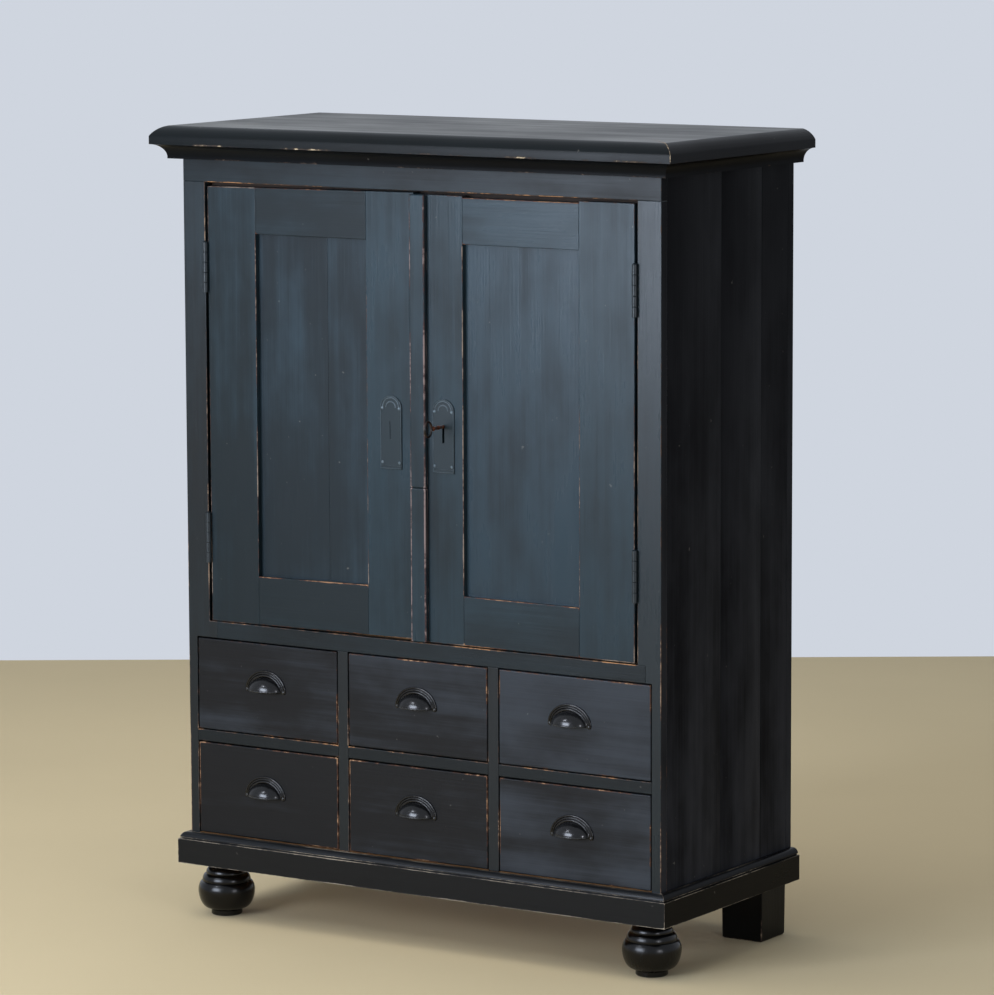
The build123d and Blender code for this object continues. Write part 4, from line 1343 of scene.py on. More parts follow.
        # The stop in the gap takes the painted shade
        dress_node("door_stop", gap_shade_level)
        for node in ("drawer_runners", "shelf_battens"):
            dress_node(node, bare_deep)
        dress_node("foot_blocks", bare_upright)
        made = [self.frame_piece(node, case_upright) for node in ("left_stile", "right_stile", "partitions")]
        made += [self.frame_piece(node, case_level) for node in ("top_rail", "door_rail", "row_rails")]
        made += [self.side(node) for node in ("left_side", "right_side")]
        return [*made, self.back(), self.nails()]


@dataclass
class Mouldings:
    """The cove under the top, the plinth and the top board, all mitred round the front corners.

    A reach is how far a section stands out from the case, and a rise how high it is above its foot.
    """

    seam_band: float = 0.004
    cove_reach: float = 0.042
    cove_rise: float = 0.026
    fillet_reach: float = 0.020
    fillet_rise: float = 0.004
    plinth_reach: float = 0.018
    plinth_rise: float = 0.045
    quirk_reach: float = 0.0125
    quirk_rise: float = 0.0475
    bead_radius: float = 0.010
    bead_foot: float = 0.005
    top_reach: float = 0.0435
    top_crown: Point = (0.018, 0.033)

    def region(self, face: bpy.types.MeshPolygon) -> int:
        """Tells the front run, the side runs and the flat top from each other.

        Args:
            face: a face of a moulding.

        Returns:
            0 for the front, 1 for a side, 2 for the flat top.
        """
        low, high = box("left_stile")[0], box("right_stile")[1]
        if face.normal.z > 0.99 and face.center.z > box("top_board")[1].z - 0.001:
            return 2
        beyond = abs(face.center.x) - high.x
        return int(beyond > 0 and beyond > low.y - face.center.y)

    def run(self, name: str, profile: Sequence[Triple], corner_rub: float, finish: PaintedPine,
            slot: str, stands_for: tuple[str, ...]) -> Piece:
        """One moulding round the front and both sides.

        Args:
            name: the piece's name.
            profile: its section as reach, rise and rub, without the repeated first point.
            corner_rub: how far the mitres are rubbed.
            finish: the finish of the front run.
            slot: its material slot.
            stands_for: the CAD nodes that it replaces, the first of which says where its foot is.

        Returns:
            The piece.
        """
        recipe = MouldingRun(name, [*profile, profile[0]], corner_rub)
        low, high = box("left_stile")[0], box("right_stile")[1]
        mesh = recipe.run(name, point_mesh([]), finish, Half_Width=high.x, Front=low.y,
                          Back=box("left_side")[1].y, Foot=box(stands_for[0])[0].z, Seam_Band=self.seam_band)
        # The sides see no window, so their runs are painted darker, a painted shade as flat a black as the
        # boards under them
        sides = replace(finish, name=finish.name + "_returns", grain=Grain.DEEP, rubbed=finish.rubbed - 0.12,
                        gloss=finish.gloss * 0.3, paint="#040405", bloom_and_sheen="#0d0e10")
        return Piece(name, sealed(mesh, name), finish, "case", slot, stands_for, (sides, top_finish),
                     self.region)

    def cove(self) -> Piece:
        """The hollow moulding under the top, with a narrow fillet at its foot.

        Returns:
            The piece.
        """
        fillet, lip = (self.fillet_reach, self.fillet_rise), (self.cove_reach, self.cove_rise)
        hollow = arc(fillet, (0.0255, 0.0175), lip, 10)
        profile = [(0, 0, 0), (0.016, 0, 0), (self.fillet_reach, 0, 0.85), (*fillet, 0.6),
                   *[(*point, 0) for point in hollow], (*lip, 0.3), (0, self.cove_rise, 0)]
        return self.run("cornice_cove", profile, 0.8, cove_finish, "moulding_paint", ("cornice",))

    def plinth(self) -> Piece:
        """The plinth board with a quirk and a quarter-round bead along its upper edge.

        Returns:
            The piece.
        """
        reach, rise = self.plinth_reach, self.plinth_rise
        quirk, radius = self.quirk_rise, self.bead_radius
        slant = radius * math.sqrt(0.5)
        start, end = (self.bead_foot + radius, quirk), (self.bead_foot, quirk + radius)
        bead = arc(start, (self.bead_foot + slant, quirk + slant), end, 8)
        # The grey lines along the bead and the upper arris are partly wear and partly a painted highlight
        profile = [(0, 0, 0), (0.015, 0, 0), (reach, 0, 1.1), (reach, 0.003, 0),
                   (reach, rise - 0.0025, 0), (reach, rise, 1.05), (reach - 0.0015, rise, 0.8),
                   (self.quirk_reach, rise, 0), (self.quirk_reach, quirk, 0), (*start, 0.95),
                   *[(*point, 0.3) for point in bead], (*end, 0.95), (0, end[1], 0)]
        return self.run("plinth", profile, 0.95, plinth_finish, "moulding_paint",
                        ("plinth_front", "plinth_returns"))

    def top(self) -> Piece:
        """The top board, whose nosing is rounded over an upright edge.

        Returns:
            The piece.
        """
        depth = box("left_side")[1].y - box("left_stile")[0].y
        reach, crown, brow = self.top_reach, self.top_crown, (0.0430, 0.0155)
        nosing = [(reach, 0.0138), brow, *arc(brow, (0.0362, 0.0237), crown, 12)]
        profile = [(-depth, 0, 0), (0.0385, 0, 0), (reach, 0, 0.82), (reach, 0.002, 0.82),
                   (reach, 0.005, 0.4), *[(*point, 0) for point in nosing], (*crown, 0.5),
                   (0.014, crown[1], 0), (-depth, crown[1], 0)]
        # The mitres are rubbed most: worn wood, and a painted highlight where the light catches the front
        # corner
        return self.run("top", profile, 1.12, nosing_finish, "top_paint", ("top_board",))

    def pieces(self) -> list[Piece]:
        """Builds the three mouldings."""
        return [self.cove(), self.plinth(), self.top()]


@dataclass
class Feet:
    """Turned ball feet in front and square feet behind."""

    ball_radius: float = 0.052
    square_width: float = 0.083
    square_arris: float = 0.0015
    bevel: float = 0.005
    bevel_slope: float = 0.6

    def silhouette(self) -> list[Point]:
        """The ball foot's outline from the floor up: a base, the ball, two stepped collars and a neck.

        Returns:
            Radius share and height share of each point.
        """
        # Shares of the ball's radius and of the foot's height
        base = [(0, 0), (0.52, 0), (0.548, 0.02), (0.548, 0.09), (0.60, 0.105)]
        under, wide, over = (0.67, 0.125), (1.0, 0.45), (0.90, 0.62)
        ball = [under, *arc(under, (0.925, 0.265), wide, 12), wide, *arc(wide, (0.978, 0.54), over, 8), over]
        low, low_top = (0.855, 0.645), (0.75, 0.765)
        collar = [(0.85, 0.63), low, *arc(low, (0.83, 0.71), low_top, 6), low_top]
        high, high_top = (0.72, 0.79), (0.565, 0.885)
        ring = [(0.715, 0.775), high, *arc(high, (0.68, 0.85), high_top, 6), high_top]
        neck = [(0.52, 0.895), (0.52, 1), (0, 1)]
        return base + ball + collar + ring + neck

    def front(self) -> Piece:
        """The two turned feet.

        Returns:
            The piece.
        """
        low, high = box("front_feet")
        height = box("plinth_front")[0].z
        places = [Vector((x, (low.y + high.y) / 2, 0.0))
                  for x in (low.x + self.ball_radius, high.x - self.ball_radius)]
        mesh = Turning("ball_foot", self.silhouette()).run(
            "ball_feet", point_mesh(places), foot_finish, Radius=self.ball_radius, Height=height, Segments=64,
            Seed=2)
        return Piece("ball_feet", sealed(mesh, "ball_feet"), foot_finish, "case", "foot_paint",
                     ("front_feet",))

    def rear(self) -> Piece:
        """The two square feet, tapered where they meet the floor.

        Returns:
            The piece.
        """
        body = new_body()
        low, high = box("rear_feet")
        height = box("plinth_front")[0].z
        for number, x in enumerate((low.x, high.x - self.square_width)):
            corners = rectangle(Vector((x, 0, 0)), Vector((x + self.square_width, 0, height)))
            Plank(corners, low.y, high.y, arris=self.square_arris, wear=self.rear_wear,
                  board=2.3 * number).add_to(body)
        for vertex in body.verts:
            if vertex.co.z < self.bevel:
                taper = self.bevel_slope * (self.bevel - vertex.co.z)
                half = self.square_width / 2
                centre = low.x + half if vertex.co.x < 0 else high.x - half
                vertex.co.x += math.copysign(taper, centre - vertex.co.x)
                vertex.co.y += math.copysign(taper, middle_of("rear_feet").y - vertex.co.y)
        return Piece("rear_feet_worn", to_mesh(body, "rear_feet"), rear_foot_finish, "case", "foot_paint",
                     ("rear_feet",))

    def rear_wear(self, place: Vector) -> float:
        """Rubs the feet most near the floor."""
        return 1.1 if place.z < 0.02 else 0.85

    def pieces(self) -> list[Piece]:
        """Builds the four feet."""
        return [self.front(), self.rear()]


@dataclass
class Keyhole:
    """The keyhole of a lock plate: a round top over a slot."""

    height: float = 0.082
    radius: float = 0.0034
    half_slot: float = 0.0023
    drop: float = 0.029
    steps: int = 20

    def cutter(self, plate: str, front: float, back: float, grow: float = 0.0) -> Mesh:
        """A block in the shape of the hole, to be cut away.

        Args:
            plate: the plate's CAD node.
            front: where the cut starts.
            back: where it ends.
            grow: how much wider than the plate's own hole it is, on each side.

        Returns:
            The cutter's mesh.
        """
        x, z = middle_of(plate).x, box(plate)[0].z + self.height
        radius, half_slot = self.radius + grow, self.half_slot + grow
        start = math.asin(half_slot / radius)
        outline = [(x - half_slot, z - self.drop), (x + half_slot, z - self.drop)]
        for i in range(self.steps + 1):
            angle = start - math.pi / 2 + (math.tau - 2 * start) * i / self.steps
            outline.append((x + radius * math.cos(angle), z + radius * math.sin(angle)))
        body = bmesh.new()
        face = body.faces.new([body.verts.new((across, front, up)) for across, up in outline])
        pulled = bmesh.ops.extrude_face_region(body, geom=[face])["geom"]
        bmesh.ops.translate(body, vec=(0, back - front, 0),
                            verts=[part for part in pulled if isinstance(part, bmesh.types.BMVert)])
        return to_mesh(body, "keyhole")


# How much lighter or darker each part of a door is painted, by the second word of its node's name:
# painted sheen of the window's light on the right door, painted shade on the left
door_sheen_and_shade = {Side.LEFT: {"hinge": -0.16, "lock": 0.02, "door": -0.22, "panel": -0.12},
              Side.RIGHT: {"hinge": 0.08, "lock": 0.03, "door": 0.02, "panel": 0.1}}


@dataclass
class Door:
    """A framed door with its panel, and on the right the cover strip."""

    side: Side
    arris: float = 0.0008
    seam_reach: float = 0.0055
    panel_marks: Point = (0.006, 0.003)
    panel_arris: float = 0.0006
    panel_joint: float = -0.1934
    hairline: float = 0.0001
    strip_arris: float = 0.0022
    strip_reach: float = 0.004

    @property
    def name(self) -> str:
        """The side's name, as the CAD nodes have it."""
        return self.side.name.lower()

    @property
    def sight(self) -> tuple[float, float, float, float]:
        """The panel's opening.

        Returns:
            Its left, foot, right and head.
        """
        lower, upper = sorted(front_outlines(f"{self.name}_door_rails"), key=lambda rail: rail[0][1])
        across = [x for x, _ in lower]
        return min(across), max(z for _, z in lower), max(across), min(z for _, z in upper)

    def framing_wear(self, place: Vector) -> float:
        """Rubs outer arrises and the ones round the panel, and leaves the seams of stile and rail alone.

        Args:
            place: a point of the framing.

        Returns:
            The share of its wear.
        """
        left, foot, right, head = self.sight
        low, high = box(f"{self.name}_hinge_stile")
        reach = self.seam_reach
        at_seam = min(abs(place.x - left), abs(place.x - right)) < reach
        beside_panel = foot - reach < place.z < head + reach
        at_end = place.z < low.z + reach or place.z > high.z - reach
        if at_seam and not beside_panel and not at_end:
            return 0.15
        if beside_panel and (abs(place.x - left) < reach or abs(place.z - foot) < reach):
            return 1.08
        if beside_panel and (abs(place.x - right) < reach or abs(place.z - head) < reach):
            return 0.72
        return 0.95

    def framing(self, node: str) -> Mesh:
        """Stiles or rails drawn round the CAD node's own outlines.

        Args:
            node: the CAD node's name.

        Returns:
            The mesh.
        """
        low, high = box(node)
        _, foot, _, head = self.sight
        planks = []
        for number, outline in enumerate(front_outlines(node)):
            points = with_stops(outline)
            if "stile" in node:
                points = with_marks(points, 1, marks_round(foot, head, *self.panel_marks))
            planks.append(Plank(points, low.y, high.y, arris=self.arris, wear=self.framing_wear,
                                board=0.9 * number + low.x, tone=door_sheen_and_shade[self.side][node.split("_")[1]]))
        return plank_mesh(node, planks)

    def panel(self) -> Piece:
        """The recessed panel, of two boards on the left and one wide board on the right.

        Returns:
            The piece.
        """
        node = f"{self.name}_panel"
        low, high = box(node)
        joints = [low.x, self.panel_joint, high.x] if self.side is Side.LEFT else [low.x, high.x]
        planks = []
        for number, (start, end) in enumerate(zip(joints, joints[1:])):
            corners = rectangle(Vector((start, 0, low.z)), Vector((end - self.hairline, 0, high.z)))
            # The left panel's board nearer the lock gets more of the painted sheen
            planks.append(Plank(corners, low.y, high.y, arris=self.panel_arris, wear=unrubbed,
                                board=3.1 * number + 1.3 * self.side.value,
                                tone=door_sheen_and_shade[self.side]["panel"] + 0.09 * number))
        return Piece(f"{node}_worn", plank_mesh(node, planks), panel_finish, f"{self.name}_door",
                     "panel_paint", (node,))

    def pieces(self) -> list[Piece]:
        """Builds the door's wooden pieces.

        Returns:
            The pieces.
        """
        body = f"{self.name}_door"
        made = []
        for part, finish in (("hinge_stile", door_upright), ("lock_stile", door_upright),
                             ("door_rails", door_level)):
            node = f"{self.name}_{part}"
            mesh = self.framing(node)
            if node == "right_lock_stile":
                low, high = box(node)
                mesh = cut(mesh, Keyhole().cutter("right_plate", low.y - 0.01, high.y + 0.01, 0.0002))
            made.append(Piece(f"{node}_worn", mesh, finish, body, "door_paint", (node,)))
        made.append(self.panel())
        if self.side is Side.RIGHT:
            made.append(self.cover_strip())
        return made

    def strip_wear(self, place: Vector) -> float:
        """Rubs the strip's long edges, and hardly the seam between its two lengths."""
        nearest = min(abs(place.x - corner.x) for corner in box("cover_strip"))
        return 1.0 if nearest < self.strip_reach else 0.1

    def cover_strip(self) -> Piece:
        """The strip over the gap between the doors, in two lengths with rounded edges.

        Returns:
            The piece.
        """
        node = "cover_strip"
        low, high = box(node)
        planks = [Plank(with_stops(outline), low.y, high.y, arris=self.strip_arris, wear=self.strip_wear,
                        board=4.4 * number) for number, outline in enumerate(front_outlines(node))]
        return Piece(f"{node}_worn", plank_mesh(node, planks), strip_finish, "right_door", "door_paint",
                     (node,))


@dataclass
class LockPlate:
    """An arched plate with a raised border, curved ribs in its arch, four studs and a keyhole."""

    node: str
    body: str
    pierced: bool = False
    thickness: float = 0.002
    arris: float = 0.0005
    arris_band: float = 0.0012
    shoulder: float = 0.1115
    rise: float = 0.019
    border_inset: float = 0.0013
    border_bead: float = 0.0009
    step_height: float = 0.0065
    step_inset: float = 0.002
    step_bead: float = 0.0007
    rib_drop: float = 0.002
    rib_radii: tuple[float, ...] = (0.010, 0.017)
    rib_bead: float = 0.0011
    stud_inset: float = 0.0047
    stud_levels: tuple[float, ...] = (0.012, 0.108)
    stud_radius: float = 0.0027
    stud_height: float = 0.0019

    def outline(self, inset: float) -> list[Point]:
        """The plate's outline moved inwards, anticlockwise from its lower left corner.

        Args:
            inset: how far inwards, in metres.

        Returns:
            The outline.
        """
        low, high = box(self.node)
        left, right, foot = low.x + inset, high.x - inset, low.z + inset
        shoulder = low.z + self.shoulder
        crown = (middle_of(self.node).x, shoulder + self.rise - inset)
        return [(left, foot), (right, foot), (right, shoulder),
                *arc((right, shoulder), crown, (left, shoulder), 18), (left, shoulder)]

    def piece(self, bead: Bead, stud: Turning) -> Piece:
        """Builds the plate.

        Args:
            bead: the recipe for its ribs.
            stud: the recipe for its studs.

        Returns:
            The piece.
        """
        low, high = box(self.node)
        x, half = middle_of(self.node).x, (high.x - low.x) / 2
        face = high.y - self.thickness
        base = plank_mesh(self.node, [Plank(self.outline(0.0), face, high.y, arris=self.arris,
                                            band=self.arris_band, wear=unrubbed)])
        cut_back = high.y + 0.001 if self.pierced else face + self.thickness / 2
        base = cut(base, Keyhole().cutter(self.node, face - 0.001, cut_back))
        ends = [Vector((x + side * (half - self.step_inset), face, low.z + self.step_height))
                for side in (-1, 1)]
        # The ribs, studs, border and step are painted lighter by their rub, a painted highlight on the relief
        step = bead.run("step", line_mesh([ends]), plate_finish, Radius=self.step_bead, Rub=0.1)
        centre = low.z + self.shoulder - self.rib_drop
        turns = [math.pi * i / 16 for i in range(17)]
        arches = [[Vector((x + radius * math.cos(turn), face, centre + radius * math.sin(turn)))
                   for turn in turns] for radius in self.rib_radii]
        ribs = bead.run("ribs", line_mesh(arches), plate_finish, Radius=self.rib_bead, Rub=0.62)
        edge = [Vector((across, face, up)) for across, up in self.outline(self.border_inset)]
        border = bead.run("border", line_mesh([edge], closed=True), plate_finish, Radius=self.border_bead,
                          Rub=0.3)
        places = [Vector((x + side * (half - self.stud_inset), face, low.z + level))
                  for side in (-1, 1) for level in self.stud_levels]
        studs = stud.run("studs", point_mesh(places), plate_finish, Radius=self.stud_radius,
                         Height=self.stud_height, Segments=14, Tilt=to_front, Seed=4)
        mesh = joined(self.node, [base, step, ribs, border, studs])
        return Piece(f"{self.node}_ribbed", mesh, plate_finish, self.body, "dark_brass", (self.node,))


@dataclass
class Key:
    """The key in the right door: an oval bow, a turned shank and a flat bit inside the lock."""

    wire: float = 0.0021
    bow_length: float = 0.025
    bow_height: float = 0.031
    shank_radius: float = 0.003
    shank_lap: float = 0.001
    bit_half: float = 0.0012
    bit_height: float = 0.02
    bit_length: float = 0.0037

    def piece(self, bead: Bead) -> Piece:
        """Builds the key round the CAD key's own axis.

        Args:
            bead: the recipe for its bow.

        Returns:
            The piece.
        """
        low, high = box("key")
        x, z = middle_of("key").x, high.z - self.bow_height / 2
        centre = low.y + self.bow_length / 2
        along, up = self.bow_length / 2 - self.wire, self.bow_height / 2 - self.wire
        turns = [math.tau * i / 40 for i in range(40)]
        oval = [Vector((x, centre + along * math.cos(turn), z + up * math.sin(turn))) for turn in turns]
        bow = bead.run("bow", line_mesh([oval], closed=True), key_finish, Radius=self.wire, Sides=10)
        # Shares of the shank's radius and length: plain, a collar, plain again and a double collar
        shank = Turning("key_shank", [
            (0, 0), (1, 0), (1, 0.70), (1.25, 0.71), (1.3, 0.73), (1.05, 0.75), (1.0, 0.90), (1.3, 0.92),
            (1.45, 0.94), (1.3, 0.96), (1.0, 0.975), (0.95, 1), (0, 1)])
        length = high.y - low.y - self.bow_length + self.shank_lap
        rod = shank.run("shank", point_mesh([Vector((x, high.y, z))]), key_finish, Radius=self.shank_radius,
                        Height=length, Segments=20, Tilt=to_front, Seed=6)
        corners = rectangle(Vector((x - self.bit_half, 0, z - self.bit_height)),
                            Vector((x + self.bit_half, 0, z)))
        bit = plank_mesh("bit", [Plank(corners, high.y - self.bit_length, high.y, arris=0.0003, band=0.0008,
                                       wear=unrubbed)])
        return Piece("rusty_key", joined("key", [bow, rod, bit]), key_finish, "key", "aged_steel", ("key",))


@dataclass
class Hinges:
    """Butt hinges of five knuckles each, whose halves ride on the case and on the doors."""

    length: float = 0.091
    knuckle_count: int = 5
    knuckle_radius: float = 0.00475
    gap: float = 0.0006
    leaf: float = 0.002
    leaf_share: float = 0.6
    axis_x: float = 0.450
    door_x: float = 0.447
    case_x: float = 0.453
    head_share: float = 0.9
    head_height: float = 0.0015
    barrel: Turning = field(default_factory=lambda: Turning("hinge_barrel", [
        (0, 0), (0.94, 0), (1, 0.016), (1, 0.04), (1, 0.96), (1, 0.984), (0.94, 1), (0, 1)]))
    finial: Turning = field(default_factory=lambda: Turning("pin_head", [
        (0, 0), (0.9, 0), (1, 0.3), (0.8, 0.75), (0.4, 1), (0, 1)]))

    def feet(self, side: Side) -> list[Vector]:
        """The lower end of the axis of each hinge on one side.

        Args:
            side: which door's hinges.

        Returns:
            The places.
        """
        low, high = box("case_hinge_leaves")
        return [Vector((side.value * self.axis_x, low.y + self.knuckle_radius, z))
                for z in (low.z, high.z - self.length)]

    def half(self, sides: Sequence[Side], first: int, edge_x: float, leaf: float) -> list[Mesh]:
        """Knuckles and leaves of one half of the hinges.

        Args:
            sides: the doors that it is on.
            first: the lowest knuckle that belongs to it, as does every second one above.
            edge_x: how far from the middle the wood is that its leaves are let into.
            leaf: the leaf's thickness, negative where it lies towards the middle.

        Returns:
            Its meshes.
        """
        pitch = self.length / self.knuckle_count
        places = []
        leaves = []
        back = box("case_hinge_leaves")[1].y
        for side in sides:
            across = sorted((side.value * edge_x, side.value * (edge_x + leaf)))
            for foot in self.feet(side):
                places += [foot + Vector((0, 0, number * pitch + self.gap / 2))
                           for number in range(first, self.knuckle_count, 2)]
                corners = rectangle(Vector((across[0], 0, foot.z)),
                                    Vector((across[1], 0, foot.z + self.length)))
                leaves.append(Plank(corners, foot.y + self.knuckle_radius * self.leaf_share, back,
                                    arris=0.0003, band=0.0008, wear=unrubbed))
        barrels = self.barrel.run("barrels", point_mesh(places), hinge_finish, Radius=self.knuckle_radius,
                                  Height=pitch - self.gap, Segments=20, Seed=7)
        return [barrels, plank_mesh("leaves", leaves)]

    def pieces(self) -> list[Piece]:
        """Builds the halves on the case and on each door, and the heads of the pins.

        Returns:
            The pieces.
        """
        heads = [foot + Vector((0, 0, self.length)) for side in Side for foot in self.feet(side)]
        case = self.half(list(Side), 0, self.case_x, -self.leaf)
        case.append(self.finial.run("pin_heads", point_mesh(heads), hinge_finish,
                                    Radius=self.knuckle_radius * self.head_share, Height=self.head_height,
                                    Segments=16, Seed=9))
        made = [Piece("case_hinges", joined("case_hinges", case), hinge_finish, "case", "aged_steel",
                      ("case_hinge_leaves", "hinge_pins"))]
        for side in Side:
            name = side.name.lower()
            mesh = joined(name, self.half([side], 1, self.door_x, self.leaf))
            made.append(Piece(f"{name}_hinges", mesh, hinge_finish, f"{name}_door", "aged_steel",
                              (f"{name}_hinge_leaves",)))
        return made


@dataclass
class CupPull:
    """A cast cup pull: two rounded rims and a lip round a hollow cup, and an ear at each end."""

    half_width: float = 0.044
    height: float = 0.037
    cup_half_width: float = 0.0355
    cup_reach: float = 0.025
    cup_from: float = 7.0
    lip_from: float = 5.0
    lip_radius: float = 0.0016
    lip_drop: float = 0.0008
    wall: float = 0.002
    ear_radius: float = 0.0045
    ear_height: float = 0.0022
    screw_radius: float = 0.0028
    screw_height: float = 0.0016

    def rim(self) -> Mesh:
        """The stepped back plate: rounded rims that follow the half oval.

        Returns:
            The mesh.
        """
        # How far in from the edge and how far out from the drawer each point of the section is
        section = [(0.0, 0.0), (0.0, 0.0016), (0.0006, 0.0024), (0.0016, 0.0029), (0.0027, 0.0026),
                   (0.0035, 0.0018), (0.0042, 0.0022), (0.0049, 0.0032), (0.0058, 0.0036),
                   (0.0067, 0.0032), (0.0074, 0.0024), (0.0081, 0.0030), (0.0089, 0.0042),
                   (0.0099, 0.0044), (0.0115, 0.0040), (0.0115, 0.0)]
        body = new_body()
        turns = [math.pi * i / 48 for i in range(49)]
        stations = [[body.verts.new(((self.half_width - inset) * math.cos(turn), -out,
                                     (self.height - inset) * math.sin(turn)))
                     for inset, out in section] for turn in turns]
        for one, two in zip(stations, stations[1:]):
            for i in range(len(section)):
                j = (i + 1) % len(section)
                body.faces.new((one[i], one[j], two[j], two[i]))
        body.faces.new(stations[0])
        body.faces.new(list(reversed(stations[-1])))
        return to_mesh(body, "rim", sharp=60.0)

    def cup(self) -> Mesh:
        """The hollow cup, a quarter of an oval ball with a wall of even thickness.

        Returns:
            The mesh.
        """
        body = new_body()
        across, around = 40, 16
        shells = []
        for inset in (0.0, self.wall):
            half, reach = self.cup_half_width - inset, self.cup_reach - inset
            grid = []
            for i in range(across + 1):
                turn = math.radians(self.cup_from + (180.0 - 2 * self.cup_from) * i / across)
                x, radius = half * math.cos(turn), reach * math.sin(turn)
                tips = [math.pi / 2 * j / around for j in range(around + 1)]
                grid.append([body.verts.new((x, -radius * math.sin(tip), radius * math.cos(tip)))
                             for tip in tips])
            shells.append(grid)
        outer, inner = shells
        for i in range(across):
            for j in range(around):
                body.faces.new((outer[i][j], outer[i + 1][j], outer[i + 1][j + 1], outer[i][j + 1]))
                body.faces.new((inner[i][j], inner[i][j + 1], inner[i + 1][j + 1], inner[i + 1][j]))
            for j in (0, around):
                body.faces.new((outer[i][j], outer[i + 1][j], inner[i + 1][j], inner[i][j]))
        for i in (0, across):
            for j in range(around):
                body.faces.new((outer[i][j], outer[i][j + 1], inner[i][j + 1], inner[i][j]))
        return to_mesh(body, "cup", sharp=60.0)

    def mesh(self, bead: Bead, screw: Turning) -> Mesh:
        """The whole pull, with its base's middle at the origin.

        Args:
            bead: the recipe for the lip along the cup's open edge.
            screw: the recipe for the screw heads.

        Returns:
            The mesh.
        """
        half, reach = self.cup_half_width - self.wall / 2, self.cup_reach - self.wall / 2
        turns = [math.radians(self.lip_from + (180.0 - 2 * self.lip_from) * i / 40) for i in range(41)]
        edge = [Vector((half * math.cos(turn), -reach * math.sin(turn), self.lip_drop)) for turn in turns]
        # The lip and the screw heads are painted lighter by their rub, a painted highlight
        lip = bead.run("lip", line_mesh([edge]), pull_finish, Radius=self.lip_radius, Rub=0.8)
        ear = Turning("pull_ear", [(0, 0), (1, 0), (1, 0.6), (0.85, 1), (0, 1)])
        places = [Vector((side * (self.half_width - self.ear_radius), 0.0, 0.0)) for side in (-1, 1)]
        ears = ear.run("ears", point_mesh(places), pull_finish, Radius=self.ear_radius,
                       Height=self.ear_height, Segments=20, Tilt=to_front, Seed=1)
        raised = [place + Vector((0.0, -0.002, 0.0)) for place in places]
        heads = screw.run("heads", point_mesh(raised), pull_finish, Radius=self.screw_radius,
                          Height=self.screw_height, Segments=14, Tilt=to_front, Seed=2)
        return joined("cup_pull", [self.rim(), self.cup(), lip, ears, heads])


@dataclass
class Drawer:
    """A drawer with a flush painted front, a bare pine box and a cup pull."""

    body: str
    pattern: Mesh
    # How much lighter or darker the front is painted: painted sheen and shade
    tone: float
    arris: float = 0.0015
    reach: float = 0.004

    def front_wear(self, place: Vector) -> float:
        """Rubs the upper arris most, then the right one."""
        past = place - box(f"{self.body}_front")[1]
        return 1.0 if past.z > -self.reach else 0.9 if past.x > -self.reach else 0.78

    def pieces(self) -> list[Piece]:
        """Builds the front and the pull, and dresses the box.

        Returns:
            The pieces.
        """
        node = f"{self.body}_front"
        low, high = box(node)
        plank = Plank(rectangle(low, high), low.y, high.y, arris=self.arris, wear=self.front_wear,
                      board=7 * low.x + 3 * low.z, tone=self.tone)
        front = Piece(f"{node}_worn", plank_mesh(node, [plank]), drawer_finish, self.body, "drawer_paint",
                      (node,))
        dress_node(f"{self.body}_box", bare_box)
        node = f"{self.body}_pull"
        high = box(node)[1]
        mesh = self.pattern.copy()
        mesh.transform(Matrix.Translation((middle_of(node).x, high.y, high.z - CupPull.height)))
        return [front, Piece(f"{node}_cast", mesh, pull_finish, self.body, "black_iron", (node,))]


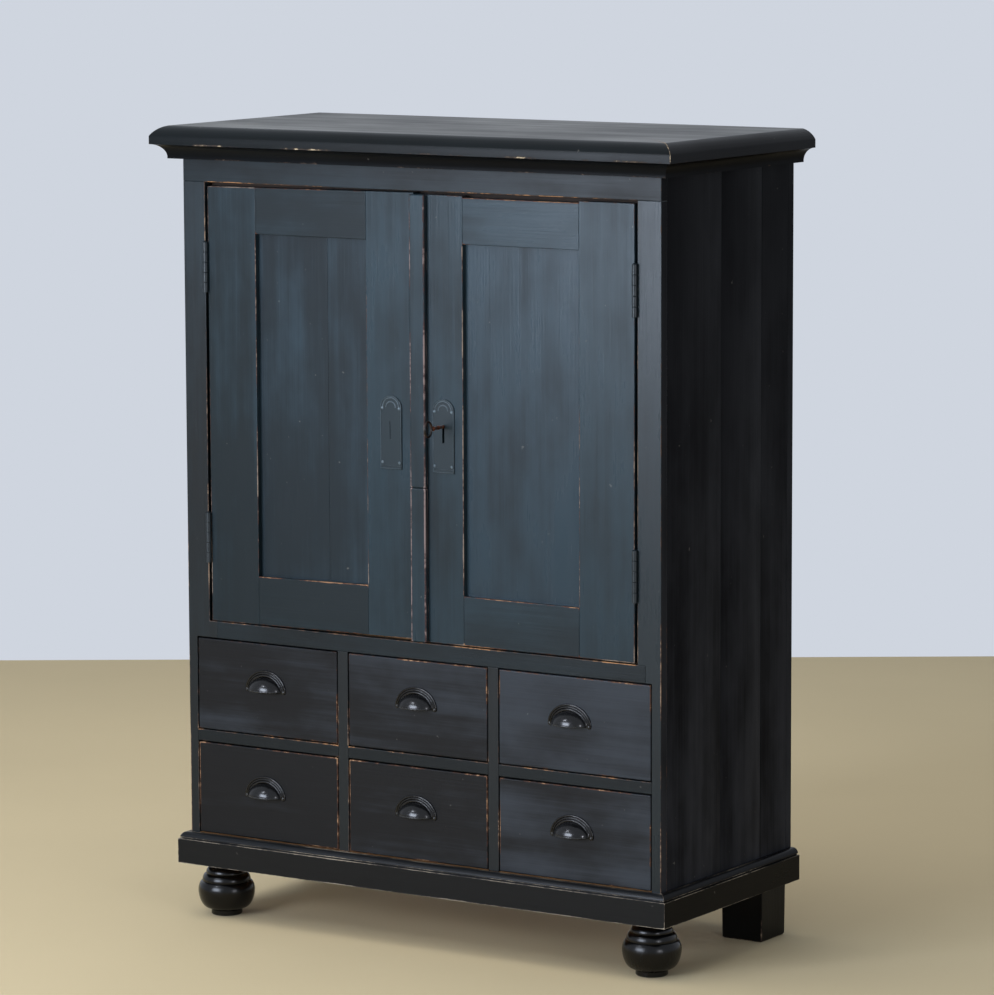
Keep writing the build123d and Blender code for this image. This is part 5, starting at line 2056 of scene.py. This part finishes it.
@dataclass
class Studio:
    """A pale floor, soft lamps and the camera."""

    focus: Vector = field(default_factory=lambda: Vector((0.16824, -0.196, 0.8195)))
    distance: float = 8.3039
    azimuth: float = 32.88
    elevation: float = 7.8
    roll: float = -0.23
    lens: float = 173.09
    floor_behind: float = 3.13
    floor_reach: float = 12.0

    def camera(self) -> None:
        """Sets the camera where the photograph was taken from."""
        azimuth, elevation, roll = (math.radians(turn) for turn in (self.azimuth, self.elevation, self.roll))
        turn = Matrix.Rotation(azimuth, 4, "Z") @ Matrix.Rotation(math.pi / 2 - elevation, 4, "X")
        turn = turn @ Matrix.Rotation(roll, 4, "Z")
        data = bpy.data.cameras.new("camera")
        data.lens = self.lens
        data.clip_end = 60.0
        camera = new_object("camera", data)
        away = Matrix.Translation((0.0, 0.0, self.distance))
        camera.matrix_world = Matrix.Translation(self.focus) @ turn @ away
        bpy.context.scene.camera = camera

    def floor(self) -> None:
        """A pale floor that ends behind the cupboard, where the wall's colour takes over."""
        turn = Matrix.Rotation(math.radians(self.azimuth), 4, "Z")
        centre = Vector((self.focus.x, self.focus.y, 0.0))
        near, far, reach = -self.floor_reach, self.floor_behind, self.floor_reach
        corners = [centre + turn @ Vector((side, depth, 0.0))
                   for side, depth in ((-reach, near), (reach, near), (reach, far), (-reach, far))]
        mesh = bpy.data.meshes.new("floor")
        mesh.from_pydata([tuple(corner) for corner in corners], [], [(0, 1, 2, 3)])
        mesh.materials.append(Plaster("studio_floor").material())
        new_object("floor", mesh)

    def lamp(self, name: str, place: Triple, size: Point, power: float, colour: str,
             mirrored: bool = True, spread: float = 180.0) -> None:
        """Adds one soft lamp that points at the cupboard.

        Args:
            name: the lamp's name.
            place: where it hangs.
            size: its width and height in metres.
            power: its power in watts.
            colour: the light's colour.
            mirrored: whether glossy surfaces show it.
            spread: how wide its beam is, in degrees.
        """
        aim = Vector((0, 0, 0.8))
        data = bpy.data.lights.new(name, "AREA")
        data.shape = "RECTANGLE"
        data.size, data.size_y = size
        data.energy = power
        data.spread = math.radians(spread)
        data.color = linear(colour)[:3]
        lamp = new_object(name, data)
        lamp.location = place
        lamp.rotation_euler = (aim - Vector(place)).to_track_quat("-Z", "Y").to_euler()
        lamp.visible_glossy = mirrored

    def light(self) -> None:
        """A window in front, a soft ceiling, a pale wall on the left and the room's own light."""
        self.lamp("window", (-1.0, -4.3, 1.45), (2.3, 1.6), 66.0, "#e4eeff", spread=110.0)
        self.lamp("high_window", (-1.3, -3.0, 3.0), (0.5, 0.4), 20.0, "#eef4ff")
        self.lamp("right_window", (4.0, -2.0, 0.9), (0.35, 0.8), 24.0, "#f4f6ff")
        # These two stand for pale walls and a ceiling, which are too far off to mirror as shapes
        self.lamp("ceiling", (-0.6, -0.6, 4.2), (3.5, 3.5), 100.0, "#fffaf0", mirrored=False)
        self.lamp("left_wall", (-4.8, -1.6, 2.2), (3.0, 2.6), 50.0, "#ffffff", mirrored=False)
        world = bpy.data.worlds.new("room")
        world.use_nodes = True
        bpy.context.scene.world = world
        tree = world.node_tree
        add = partial(add_node, tree)
        path = add("ShaderNodeLightPath").outputs
        shown = path["Is Camera Ray"]
        for ray in ("Is Glossy Ray", "Is Transmission Ray"):
            shown = add("ShaderNodeMath", {0: shown, 1: path[ray]}, operation="MAXIMUM")
        colour = add("ShaderNodeMix", {0: shown, 6: "#9aa0a8", 7: "#cfd5df"}, data_type="RGBA")
        fill(tree, tree.nodes["Background"], {"Color": colour})
        bpy.context.scene.view_settings.view_transform = "Standard"

    def build(self) -> None:
        """Builds the studio."""
        self.camera()
        self.floor()
        self.light()


def hardware(bead: Bead, stud: Turning) -> list[Piece]:
    """Builds the plates, the key and the hinges, and dresses the lock and the bolts.

    Args:
        bead: the recipe for ribs and wires.
        stud: the recipe for round heads.

    Returns:
        The pieces.
    """
    for node in ("lock_case", "bolt_housing", "lock_bolt", "slide_bolt"):
        dress_node(node, lock_finish)
    left = LockPlate("left_plate", "left_door")
    right = LockPlate("right_plate", "right_door", pierced=True)
    return [left.piece(bead, stud), right.piece(bead, stud), Key().piece(bead), *Hinges().pieces()]


def main() -> None:
    """Builds the cupboard's pieces in order."""
    logging.basicConfig(level=logging.INFO, format="%(name)s %(message)s")
    Studio().build()
    bead = Bead()
    # The studs of plates and pulls are painted lighter, a painted highlight
    stud = Turning("stud", [(0, -0.3), (1, -0.3), (1, 0.2), (0.86, 0.6), (0.5, 0.92), (0, 1)], rub=1.0)
    made = Carcase().pieces() + Mouldings().pieces() + Feet().pieces()
    for side in Side:
        made += Door(side).pieces()
    made += hardware(bead, stud)
    pattern = CupPull().mesh(bead, stud)
    # Painted sheen and shade: the right column lighter in the window's light, the left column and the lower
    # row darker
    for row, row_shade in (("upper", 0.0), ("lower", -0.1)):
        for column, tone in (("left", -0.2), ("middle", -0.1), ("right", 0.12)):
            made += Drawer(f"{row}_{column}_drawer", pattern, row_shade + tone).pieces()
    for piece in made:
        piece.place()


if __name__ == "__main__":
    main()
